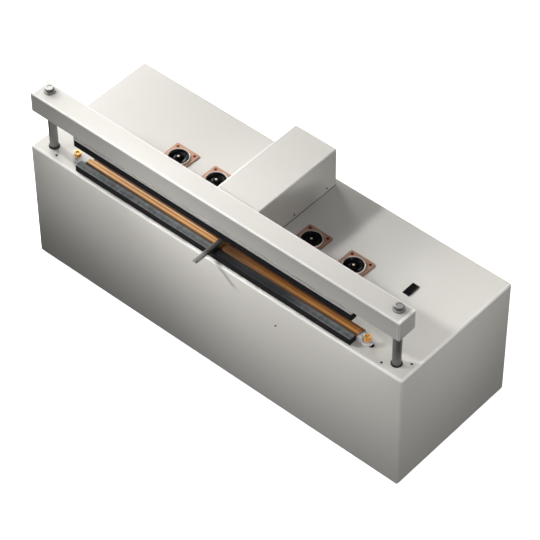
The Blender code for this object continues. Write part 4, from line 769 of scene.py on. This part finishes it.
def cabinet_screws():
    """Small dark screws that the source leaves out: one in front, two on each side of the cover."""
    head = np.vstack([SOCKET_LINE, eased(SCREW_LINE, 0.35)[1:]]) * MM
    front = corners("housing_shell")[0][1]
    cover_low, cover_high = corners("nozzle_cover")
    grid = lathe(head * (1, -1), (FRONT_SCREW_X, front, FRONT_SCREW_HEIGHT), 20, "Y")
    piece("front_screw", [(grid, False)], BLACK_STEEL)
    for side, x, turn in (("left", cover_low[0], -1), ("right", cover_high[0], 1)):
        for number, y in enumerate(COVER_SCREWS_Y):
            grid = lathe(head * (1, turn), (x, y, COVER_SCREW_HEIGHT), 20, "X")
            piece(f"cover_screw_{side}_{number}", [(grid, False)], BLACK_STEEL)


# Jaw

BEAM_BEND, BEAM_INNER_BEND = 3.2 * MM, 1.2 * MM
BEAM_WALL = 2.5 * MM
CAP_THICKNESS, CAP_EDGE = 2.5 * MM, 0.7 * MM
PLUG_LENGTH, PLUG_SHARE = 8.5 * MM, 0.985


def beam():
    """Square tube as a ring section, its outer outline out and its inner outline back, and flat
    caps with eased rims and a plug inside the tube."""
    low, high = corners("jaw_beam")
    y, z = (low + high)[1:] / 2
    side = high[2] - low[2]
    bore = side - 2 * BEAM_WALL
    outer = rounded_rectangle(side, side, BEAM_BEND, 8)
    inner = rounded_rectangle(bore, bore, BEAM_INNER_BEND, 8)
    ends = np.array([low[0], high[0]])
    tube = np.concatenate([carried(outer, ends), carried(inner, ends[::-1])]) + (0, y, z)
    piece("beam_tube", [(tube, True)], BEAM_SHADED_PAINT, "jaw", ("jaw_beam",))
    for hand, inward in (("left", 1), ("right", -1)):
        node = f"beam_end_cap_{hand}"
        cap_low, cap_high = corners(node)
        outside = cap_low[0] if hand == "left" else cap_high[0]
        inside = outside + inward * CAP_THICKNESS
        places = end_stations(min(outside, inside), max(outside, inside), CAP_EDGE)
        plate = carried(outer, places, CAP_EDGE) + (0, y, z)
        plug = carried(inner * PLUG_SHARE, np.sort([inside, inside + inward * PLUG_LENGTH])) + (0, y, z)
        piece(f"cap_{hand}", [(plate, False), (plug, False)], CAP_SHADED_PAINT, "jaw", (node,))


ROD_RADIUS, ROD_CHAMFER = 9.525 * MM, 1 * MM
THREAD_RADIUS, THREAD_DEPTH = 5.3 * MM, 20 * MM
PISTON_TALL = 12 * MM
GROOVE_FOOT, GROOVE_TOP, GROOVE_DEPTH = 4 * MM, 8 * MM, 1.5 * MM


def rods():
    """Ground piston rods with a chamfered top, and the grooved piston inside the cylinder."""
    for hand in SIDES:
        node = f"piston_rod_{hand}"
        low, high = corners(node)
        x, y, _ = (low + high) / 2
        length = high[2] - low[2]
        piston = (high[0] - low[0]) / 2
        thread_foot = length - THREAD_DEPTH
        groove = piston - GROOVE_DEPTH
        line = eased(
            [(0, thread_foot), (THREAD_RADIUS, thread_foot), (THREAD_RADIUS, length),
             (ROD_RADIUS - ROD_CHAMFER, length), (ROD_RADIUS, length - ROD_CHAMFER),
             (ROD_RADIUS, PISTON_TALL), (piston, PISTON_TALL), (piston, GROOVE_TOP),
             (groove, GROOVE_TOP), (groove, GROOVE_FOOT), (piston, GROOVE_FOOT), (piston, 0), (0, 0)],
            0.3 * MM, 2,
        )
        piece(f"ground_rod_{hand}", [(lathe(line, (x, y, low[2]), 72), False)], ROD_STEEL, "jaw",
              (node,))


WASHER_HOLE, WASHER_RADIUS = 5.3 * MM, 13 * MM
SHANK_RADIUS, SHANK_TIP = 5 * MM, 4.4 * MM
# The hexagon head: its centre to a flat, its turn, and from the seat up the shares of its height and
# the cone's radii in millimetres
HEXAGON_FLAT = 9.0 * MM
HEXAGON_TURN = math.radians(12)
HEAD_HEIGHTS = (0, 0.06, 0.7, 0.76, 0.82, 0.88, 0.94, 1.0, 1.0, 0.9, 0.9)
HEAD_CONE = (8.6, 10.4, 10.6, 10.4, 10.0, 9.5, 8.9, 8.0, 6.0, 5.4, 0)


def rod_hardware():
    """Hexagon heads by r = min(hexagon, cone): the hexagon's radius at each angle, cut by a cone
    that falls away at the top, over flat washers with rolled edges."""
    turn = angles(96)
    hexagon = HEXAGON_FLAT / np.cos((turn + HEXAGON_TURN) % (TAU / 6) - TAU / 12)
    radius = np.minimum(hexagon, np.array(HEAD_CONE)[:, None] * MM)
    for hand in SIDES:
        washer_low, washer_high = corners(f"bolt_washer_{hand}")
        x, y, _ = (washer_low + washer_high) / 2
        thick = washer_high[2] - washer_low[2]
        ring = eased(
            [(WASHER_HOLE, 0), (WASHER_RADIUS, 0), (WASHER_RADIUS, thick), (WASHER_HOLE, thick)],
            0.7 * MM, 4, True,
        )
        piece(f"flat_washer_{hand}", [(lathe(ring, (x, y, washer_low[2]), 64), True)], ZINC, "jaw",
              (f"bolt_washer_{hand}",))
        low, high = corners(f"rod_bolt_{hand}")
        foot = low[2]
        seat = washer_high[2] + 0.3 * MM
        up = seat + np.array(HEAD_HEIGHTS)[:, None] * (high[2] - seat) * np.ones_like(turn)
        head = np.stack([x + radius * np.cos(turn), y + radius * np.sin(turn), up], axis=-1)
        shank = lathe(
            [(0, foot), (SHANK_TIP, foot), (SHANK_RADIUS, foot + MM), (SHANK_RADIUS, seat), (0, seat)],
            (x, y, 0), 32,
        )
        piece(f"hexagon_bolt_{hand}", [(head, False), (shank, False)], ZINC, "jaw",
              (f"rod_bolt_{hand}",), math.radians(24))


# Radius and height in millimetres, from the socket's floor over the button head to the thread's tip
BUTTON_SCREW_LINE = (
    (0, 0.2), (1.0, 0.3), (1.1, 1.15), (1.9, 1.0), (2.7, 0.35), (2.7, 0.3), (1.6, 0.3), (1.6, -7.7),
    (0, -7.7),
)


def bushings():
    """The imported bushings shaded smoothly, and their spun button-head screws."""
    line = eased(BUTTON_SCREW_LINE, 0.3, 3) * MM
    seat = corners("housing_shell")[1][2]
    for hand in SIDES:
        smooth_copy(f"rod_bushing_{hand}", f"wiper_bushing_{hand}", BUSHING_BLACK)
        for end in ("front", "rear"):
            node = f"bushing_screw_{hand}_{end}"
            low, high = corners(node)
            x, y, _ = (low + high) / 2
            piece(f"button_screw_{hand}_{end}", [(lathe(line, (x, y, seat), 28), False)], BLACK_STEEL,
                  stands_for=(node,))


# Pads

# How much a pad swells, how far it wanders across, and the length that one wave is near
PAD_CROWN = 0.5 * MM
PAD_WANDER, PAD_WAVE = 0.25 * MM, 50 * MM


def pad_strip(name, node, look, body, seed, edge):
    """A foam strip: a rounded section carried along X. Its top and bottom each swell by half the
    crown times 1 - (y / half)^2, and it wanders a little across with a seeded ripple."""
    low, high = corners(node)
    centre = (low + high) / 2
    depth, tall = (high - low)[1:]
    section = rounded_rectangle(depth - 2 * PAD_CROWN, tall - PAD_CROWN, edge, 5)
    stations = end_stations(low[0], high[0], edge, middle_steps=150)
    grid = carried(section, stations, edge)
    swell = PAD_CROWN * (1 - (grid[..., 1] / (depth / 2)) ** 2)
    grid[..., 2] += np.sign(grid[..., 2]) * swell / 2
    grid[..., 1] += PAD_WANDER * ripple(stations / PAD_WAVE, 5, seed)[:, None]
    grid += (0, centre[1], centre[2])
    return piece(name, [(grid, False)], look, body, (node,))


def pads():
    """The carrier bar and the backing strip as pulled spheres, and the two foam strips."""
    low, high = corners("pad_carrier")
    piece("carrier_bar", [(pulled_sphere(low, high, 0.9 * MM), False)], CARRIER_PAINT, "jaw",
          ("pad_carrier",))
    upper = pad_strip("upper_foam_pad", "upper_pad", UPPER_FOAM, "jaw", 3, 1.6 * MM)
    lower = pad_strip("lower_foam_pad", "lower_pad", LOWER_FOAM, "cabinet", 8, 1.4 * MM)
    low, high = corners("seal_backing")
    piece("backing_strip", [(pulled_sphere(low, high, 1.2 * MM), False)], BACKING, "jaw",
          ("seal_backing",))


# Seal bar and terminals

CROWN_HALF = 10.1 * MM
FILM_WALL = 0.8 * MM
SHOULDER, LAND, FILM_FOOT = 11.0 * MM, 3.0 * MM, 7.7 * MM
FILM_WANDER, FILM_WAVE = 0.15 * MM, 30 * MM
# Each crease's place across the crown, its depth and its width, in millimetres
CREASES = ((-3.2, 0.22, 0.5), (3.4, 0.55, 0.5), (5.6, 0.35, 0.45))


def film():
    """The film over the seal bar, carried along X. Its section is an arch over the crown, shoulder +
    rise sqrt(1 - u^2) beyond the flat land, that steps down to a low flat foot behind. Creases are
    narrow dips -d exp(-(y / w)^2) where the ribbon's edges and the bar's step press through."""
    low, high = corners("seal_cover")
    centre = low[1] + CROWN_HALF
    tall = high[2] - low[2]
    heel = high[1] - centre
    across = CROWN_HALF * np.sin(np.linspace(-math.pi / 2, math.pi / 2, 57))
    over = np.clip((np.abs(across) - LAND) / (CROWN_HALF - LAND), 0, 1)
    up = SHOULDER + (tall - SHOULDER) * np.sqrt(1 - over ** 2)
    for place, depth, width in CREASES:
        up = up - depth * MM * np.exp(-((across / MM - place) / width) ** 2)
    step = eased([(CROWN_HALF, SHOULDER), (CROWN_HALF, FILM_FOOT), (heel, FILM_FOOT), (heel, 0)], 0.8 * MM)
    outer = np.vstack([[(-CROWN_HALF, 0.0)], np.stack([across, up], axis=1), step[1:]])
    narrower = outer[:, 0] * (CROWN_HALF - FILM_WALL) / CROWN_HALF
    inner = np.stack(
        [np.clip(narrower, -CROWN_HALF, heel - FILM_WALL), np.maximum(outer[:, 1] - FILM_WALL, 0)], axis=1
    )
    section = np.vstack([outer, inner[::-1]])
    stations = np.linspace(low[0], high[0], 160)
    grid = carried(section, stations)
    grid[..., 2] += FILM_WANDER * ripple(stations / FILM_WAVE, 4, 5)[:, None] * (grid[..., 2] > SHOULDER)
    grid += (0, centre, low[2])
    piece("seal_film", [(grid, False)], FILM, stands_for=("seal_cover",),
          sharp=math.radians(50), flat_look=False)


# Lines in millimetres: radius and height above the boss's or the nut's own foot
BOSS_LINE = ((3.4, 0), (11.5, 0), (11.5, 8), (9.6, 8), (9.2, 7.3), (3.4, 7.3))
NUT_LINE = (
    (3.3, 0), (6.9, 0), (6.9, 1.4), (5.4, 2.3), (5.4, 5.6), (7.7, 6.5), (7.7, 9.5), (4.6, 9.5), (3.9, 7.9),
    (3.3, 7.9),
)
# The insulator's block stays off the bar by the gap and off the nut's middle by the other
BLOCK_HALF, BLOCK_TALL, BLOCK_EDGE = 8 * MM, 13.5 * MM, 1.8 * MM
BLOCK_GAP, BLOCK_SHORT = 0.3 * MM, 8 * MM
STUD_RADIUS, STUD_TIP, STUD_CHAMFER = 3 * MM, 2.3 * MM, 0.7 * MM
FLANGE_RADIUS, FLANGE_PLACE, FLANGE_THICKNESS = 6 * MM, 8.3 * MM, 1.5 * MM
NUT_FLUTES, NUT_FLUTE_DEPTH = 24, 0.035


def stud_line(top, foot, flange):
    """A stud's half section, with a chamfered tip and a flange."""
    over = flange + FLANGE_THICKNESS
    return eased(
        [(0, top), (STUD_TIP, top), (STUD_RADIUS, top - STUD_CHAMFER), (STUD_RADIUS, over),
         (FLANGE_RADIUS, over), (FLANGE_RADIUS, flange), (STUD_RADIUS, flange), (STUD_RADIUS, foot),
         (0, foot)],
        0.25 * MM, 2,
    )


def terminals():
    """Milky insulators, a block against the bar and a round boss, and on each a brass stud with a
    flange and a spool-shaped nut, whose upper rim is fluted."""
    bar_low, bar_high = corners("seal_bar")
    seat = bar_low[2]
    block_y = corners("seal_cover")[0][1] + CROWN_HALF
    boss_line = eased(BOSS_LINE, 0.9, 5, True) * MM
    nut = lathe(eased(NUT_LINE, 0.6, 4, True) * MM, (0, 0, 0), 96)
    outward = np.hypot(nut[..., 0], nut[..., 1])
    rim = easing((nut[..., 2] - 6.3 * MM) / (0.6 * MM)) * easing((outward - 6.9 * MM) / (0.5 * MM))
    nut = fluted(nut, NUT_FLUTE_DEPTH, NUT_FLUTES, rim)
    for hand, sign, bar_end in (("left", -1, bar_low[0]), ("right", 1, bar_high[0])):
        nut_low, nut_high = corners(f"terminal_nut_{hand}")
        x, y, _ = (nut_low + nut_high) / 2
        ends = sorted([bar_end + sign * BLOCK_GAP, x - sign * BLOCK_SHORT])
        block_low = (ends[0], block_y - BLOCK_HALF, seat)
        block_high = (ends[1], block_y + BLOCK_HALF, seat + BLOCK_TALL)
        block = pulled_sphere(block_low, block_high, BLOCK_EDGE)
        piece(f"insulator_{hand}", [(block, False), (lathe(boss_line, (x, y, seat), 72), True)], MILKY,
              stands_for=(f"terminal_block_{hand}",))
        post_low, post_high = corners(f"terminal_post_{hand}")
        stud = stud_line(post_high[2], post_low[2], seat + FLANGE_PLACE)
        piece(f"brass_stud_{hand}", [(lathe(stud, (x, y, 0), 40), False)], NUT_BRASS,
              stands_for=(f"terminal_post_{hand}",))
        piece(f"spool_nut_{hand}", [(nut + (x, y, nut_low[2]), True)], NUT_BRASS,
              stands_for=(f"terminal_nut_{hand}",), sharp=math.radians(40))


# Nozzle

# Half sizes and powers of the flat and the round section, and where the taper lies behind the front
FLAT_WIDE, FLAT_TALL, ROUND_HALF = 5.75 * MM, 2.5 * MM, 4.5 * MM
FLAT_POWER, ROUND_POWER = 5.0, 2.0
TAPER_STARTS, TAPER_ENDS = 90 * MM, 125 * MM
NOZZLE_WALL = 0.9 * MM


def nozzle():
    """A tube pressed flat in front and round behind: at each station the section is a
    superellipse whose half sizes and power go from flat to round by an eased share. The upper side
    stays level, and the wall is a second surface inside that comes back."""
    low, high = corners("nozzle_tube")
    front, rear, top = low[1], high[1], high[2]
    taper = np.linspace(TAPER_STARTS, TAPER_ENDS, 17) + corners("housing_shell")[0][1]
    places = np.concatenate([[front, front + 0.25 * MM, front + 0.6 * MM], taper, [rear - 0.3 * MM, rear]])
    draw = np.concatenate([[0.3 * MM, 0.09 * MM, 0], np.zeros(len(taper)), [0, 0.2 * MM]])
    share = easing((places - taper[0]) / (taper[-1] - taper[0]))
    half_width = FLAT_WIDE + (ROUND_HALF - FLAT_WIDE) * share
    half_height = FLAT_TALL + (ROUND_HALF - FLAT_TALL) * share
    power = FLAT_POWER + (ROUND_POWER - FLAT_POWER) * share
    centre = (top - half_height)[:, None]
    rings = []
    for inset, order in ((draw, slice(None)), (draw + NOZZLE_WALL, slice(None, None, -1))):
        across, up = superellipse((half_width - inset)[order], (half_height - inset)[order], power[order], 48)
        along = np.broadcast_to(places[order][:, None], across.shape)
        rings.append(np.stack([across, along, up + centre[order]], axis=-1))
    piece("flattened_nozzle", [(np.concatenate(rings), True)], NOZZLE_STEEL, "nozzle",
          ("nozzle_tube",), math.radians(40))


# Dials and switch

# Lines in millimetres: radius, and height above the plate or the seat of the rim
EYELET_LINE = ((3.2, 0.1), (3.8, 0.1), (4.9, 0.12), (4.6, 0.45), (3.8, 0.5), (3.2, -0.6))
RIVET_LINE = ((0, 0.1), (1.2, 0.1), (3.35, -0.15), (3.35, -1.6), (0, -1.6))
RIM_LINE = (
    (22.8, -9.8), (22.8, 2.2), (23.4, 3.0), (24.6, 3.0), (25.2, 2.0), (25.2, 0), (24, 0), (24, -14),
    (21.5, -14), (21.5, -40), (3.3, -40), (3.3, -9.8),
)
BOWL_LINE = (
    (2.2, 3.3), (5.4, 3.4), (6.9, 2.2), (7.6, -1.2), (12.0, -2.2), (17.2, -0.9), (19.4, 2.6), (20.6, 3.0),
    (21.9, 2.2), (22.1, 0.8), (22.1, -9.6), (3, -9.6), (3, -19.6), (0, -19.6),
)
HUB_CENTRE = (0, 3.3)
CAP_LINE = ((0, 4.35), (1.2, 4.25), (2.5, 3.7), (2.8, 3.1), (0, 3.1))
PLATE_CORNER = 23.75 * MM
KNOB_FLUTES, KNOB_FLUTE_DEPTH = 30, 0.02


def knob_grid():
    """A dished knob, spun, with its outer wall drawn in by f (1/2 + 1/2 cos 30 a)."""
    line = np.vstack([[HUB_CENTRE], eased(BOWL_LINE, 1.3, 6)]) * MM
    grid = lathe(line, (0, 0, 0), 120)
    outward = np.hypot(grid[..., 0], grid[..., 1])
    wall = easing((outward - 20.8 * MM) / (0.8 * MM)) * easing((grid[..., 2] + 8 * MM) / MM)
    return fluted(grid, KNOB_FLUTE_DEPTH, KNOB_FLUTES, wall)


def dials():
    """Copper plates with an eyelet and a rivet in each corner, bright rims, and dished knobs with a
    turned cap on the hub. All but the plates are spun lines."""
    eyelet = eased(EYELET_LINE, 0.25, 3, True) * MM
    rivet = eased(RIVET_LINE, 0.3, 3) * MM
    rim = eased(RIM_LINE, 0.5, 4, True) * MM
    cap = eased(CAP_LINE, 0.6, 4) * MM
    knob = knob_grid()
    for place in DIALS:
        low, high = corners(f"dial_plate_{place}")
        x, y, _ = (low + high) / 2
        seat = high[2] + 0.3 * MM
        smooth_copy(f"dial_plate_{place}", f"copper_plate_{place}", DIAL_COPPER)
        spots = [(x + a * PLATE_CORNER, y + b * PLATE_CORNER, high[2]) for a in (-1, 1) for b in (-1, 1)]
        piece(f"plate_eyelets_{place}", [(lathe(eyelet, spot, 28), True) for spot in spots], DIAL_COPPER)
        piece(f"plate_rivets_{place}", [(lathe(rivet, spot, 24), False) for spot in spots], RIVET_RED)
        piece(f"dial_rim_{place}", [(lathe(rim, (x, y, seat), 96), True)], RIM_METAL,
              stands_for=(f"dial_body_{place}",))
        body = f"knob_{place}"
        piece(f"dished_knob_{place}", [(knob + (x, y, seat), False)], KNOB_BLACK, body,
              (f"dial_knob_{place}",), math.radians(60))
        piece(f"knob_cap_{place}", [(lathe(cap, (x, y, seat), 40), False)], CAP_METAL, body)


ROCKER_TILT = math.radians(-8)
ROCKER_REACH, ROCKER_KEEL = 13.6 * MM, 2.0 * MM
ROCKER_END, ROCKER_MIDDLE = 3 * MM, 2.4 * MM
ROCKER_PIN_HEIGHT = 0.319


def switch():
    """The rocker's side view is a shallow V with eased corners, carried across the window and
    tipped about its pin."""
    smooth_copy("switch_frame", "switch_bezel", SWITCH_BLACK)
    low, high = corners("power_rocker")
    x, y, _ = (low + high) / 2
    half = (high[0] - low[0]) / 2
    outline = eased(
        [(-ROCKER_REACH, -ROCKER_KEEL), (ROCKER_REACH, -ROCKER_KEEL), (ROCKER_REACH, ROCKER_END),
         (0, ROCKER_MIDDLE), (-ROCKER_REACH, ROCKER_END)],
        0.6 * MM, 4, True,
    )
    grid = carried(outline, end_stations(-half, half, 0.5 * MM), 0.5 * MM)
    across, up = grid[..., 1].copy(), grid[..., 2].copy()
    grid[..., 1] = across * math.cos(ROCKER_TILT) - up * math.sin(ROCKER_TILT)
    grid[..., 2] = across * math.sin(ROCKER_TILT) + up * math.cos(ROCKER_TILT)
    piece("tilting_rocker", [(grid + (x, y, ROCKER_PIN_HEIGHT), False)], SWITCH_BLACK, "rocker",
          ("power_rocker",))


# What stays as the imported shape

def packed_shapes():
    """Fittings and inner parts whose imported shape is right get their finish, and those in sight
    also get smooth shading."""
    smooth_copy("air_inlet", "air_plug", FITTING_BRASS)
    smooth_copy("cord_gland", "nylon_gland", GLAND_BLACK)
    for node, look in (
        ("base_plate", PLATE_STEEL), ("seal_bar", ALUMINIUM), ("heating_ribbon", RIBBON_STEEL),
        ("jaw_cylinder_left", ALUMINIUM), ("jaw_cylinder_right", ALUMINIUM),
        ("nozzle_guide", ALUMINIUM), ("nozzle_carriage", ALUMINIUM), ("nozzle_cylinder", ALUMINIUM),
        ("vacuum_generator", ALUMINIUM), ("valve_manifold", ALUMINIUM), ("transformer", CORE_STEEL),
    ):
        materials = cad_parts[node].data.materials
        materials.clear()
        materials.append(look)


# Studio

CAMERA_PLACE = (2.58509, -2.89734, 4.22152)
CAMERA_RIGHT = (0.75095, 0.66034, -0.00467)
CAMERA_UP = (-0.47557, 0.54570, 0.68996)
CAMERA_LENS = 177.604
SENSOR = 36.0
LIGHTS = (
    # name, place, aim, width, depth, power: a light with no depth is a disc
    ("key_lamp", (-2.059, -1.440, 2.156), (0.25, 0.1, 0.75), 0.30, 0, 3.1),
    ("nozzle_lamp", (-0.633, -0.584, 0.891), (0.05, -0.175, 0.27), 0.04, 0, 0.075),
    ("left_lamp", (-2.375, 0, 1.358), (0, 0, 0.3), 0.35, 0, 32.0),
    ("left_low_lamp", (-2.499, 0, 1.017), (0, 0, 0.3), 0.35, 0, 8.0),
    ("top_left_lamp", (-0.7, 0.1, 1.1), (-0.7, 0.1, 0), 0.35, 0, 1.3),
    ("left_rear_panel", (-2.041, 1.178, 1.399), (0, 0, 0.3), 0.9, 0, 24.0),
    ("low_front_lamp", (1.728, -1.728, 1.189), (0, 0, 0.3), 0.2, 0, 3.0),
    ("low_right_lamp", (2.276, -1.061, 0.973), (0, 0, 0.3), 0.2, 0, 9.5),
    ("rear_left_panel", (-1.2, 2.2, 1.2), (0, 0, 0.2), 1.2, 0, 1.0),
    ("rear_right_panel", (1.8, 1.9, 0.9), (0, 0, 0.2), 1.2, 0, 0.8),
    ("front_strip", (0, -0.30, 0.22), (0, 0, 0.30), 1.1, 0.04, 0.06),
    ("front_low_strip", (0, -0.42, 0.22), (0, 0, 0.22), 1.1, 0.06, 0.28),
    ("front_left_strip", (-0.35, -0.42, 0.24), (-0.35, 0, 0.24), 0.5, 0.06, 0.16),
    ("lip_strip", (0, -0.25, 0.355), (0, -0.175, 0.31), 1.0, 0.03, 0.16),
    ("beam_strip", (-0.05, -0.15, 0.68), (-0.05, -0.15, 0), 0.8, 0.05, 0.4),
    ("right_top_strip", (0.70, 0.05, 0.7), (0.70, 0.05, 0), 0.20, 0.5, 0.85),
    ("right_side_strip", (0.75, 0, 0.26), (0, 0, 0.26), 0.3, 0.06, 0.09),
)
# The two lamps that are narrowed, the second for the nozzle's shadow. The rest spread all round.
SPREADS = {"key_lamp": math.radians(36), "nozzle_lamp": math.radians(30)}
WARM = (1.0, 0.985, 0.96)
WORLD_TONE = 0.02
FLOOR_TONE = 0.85
# The flat floor's radius, and the radius and height of the bowl's rim
FLAT_FLOOR, BOWL_RADIUS, BOWL_HEIGHT = 9, 16, 9


def camera():
    """The camera stands where the photograph's lines meet, with its axes as measured."""
    data = bpy.data.cameras.new("camera")
    data.lens = CAMERA_LENS
    data.sensor_width = SENSOR
    made = bpy.data.objects.new("camera", data)
    right, up = Vector(CAMERA_RIGHT), Vector(CAMERA_UP)
    back = right.cross(up).normalized()
    up = back.cross(right).normalized()
    turn = Matrix((right.normalized(), up, back)).transposed().to_4x4()
    made.matrix_world = Matrix.Translation(CAMERA_PLACE) @ turn
    bpy.context.scene.collection.objects.link(made)
    bpy.context.scene.camera = made


def lights():
    """Each lamp stands at its place and looks at its aim, and the camera doesn't see it."""
    for name, place, aim, width, depth, power in LIGHTS:
        data = bpy.data.lights.new(name, "AREA")
        data.shape = "RECTANGLE" if depth else "DISK"
        data.size = width
        if depth:
            data.size_y = depth
        data.energy = power
        data.spread = SPREADS.get(name, math.pi)
        data.color = WARM
        made = bpy.data.objects.new(name, data)
        made.location = place
        made.rotation_mode = "QUATERNION"
        made.rotation_quaternion = (Vector(aim) - Vector(place)).to_track_quat("-Z", "Y")
        made.visible_camera = False
        bpy.context.scene.collection.objects.link(made)


def pale_floor():
    """Pale grey that glows enough to read as white."""
    pale = bpy.data.materials.new("pale_floor")
    pale.use_nodes = True
    shader = pale.node_tree.nodes["Principled BSDF"]
    shader.inputs["Base Color"].default_value = (FLOOR_TONE, FLOOR_TONE, FLOOR_TONE, 1)
    shader.inputs["Roughness"].default_value = 0.9
    shader.inputs["Emission Color"].default_value = (1, 1, 1, 1)
    shader.inputs["Emission Strength"].default_value = 1.0
    return pale


def studio():
    """A pale bowl: a flat floor that turns up into a far wall, h = wall times eased radius. It
    throws no light back on the machine."""
    radius = np.concatenate([[0.0], np.linspace(FLAT_FLOOR, BOWL_RADIUS, 24)])
    height = BOWL_HEIGHT * easing((radius - FLAT_FLOOR) / (BOWL_RADIUS - FLAT_FLOOR))
    grid = lathe(np.stack([radius, height], axis=1), (0, 0, 0), 96)
    mesh = bpy.data.meshes.new("studio_bowl")
    mesh.from_pydata(grid.reshape(-1, 3), [], faces_of(grid, 0, ring=False, ends=False))
    tidy(mesh, math.radians(60))
    bowl = bpy.data.objects.new("studio_bowl", mesh)
    bowl.data.materials.append(pale_floor())
    bpy.context.scene.collection.objects.link(bowl)
    bowl.visible_diffuse = False
    bowl.visible_glossy = False
    bowl.visible_shadow = False
    world = bpy.data.worlds.new("studio")
    world.use_nodes = True
    background = world.node_tree.nodes["Background"]
    background.inputs["Color"].default_value = (WORLD_TONE, WORLD_TONE, WORLD_TONE, 1)
    bpy.context.scene.world = world
    bpy.context.scene.view_settings.view_transform = "Standard"


cabinet()
cover_bead()
feet()
cabinet_screws()
beam()
rods()
rod_hardware()
bushings()
pads()
film()
terminals()
nozzle()
dials()
switch()
packed_shapes()
camera()
lights()
studio()
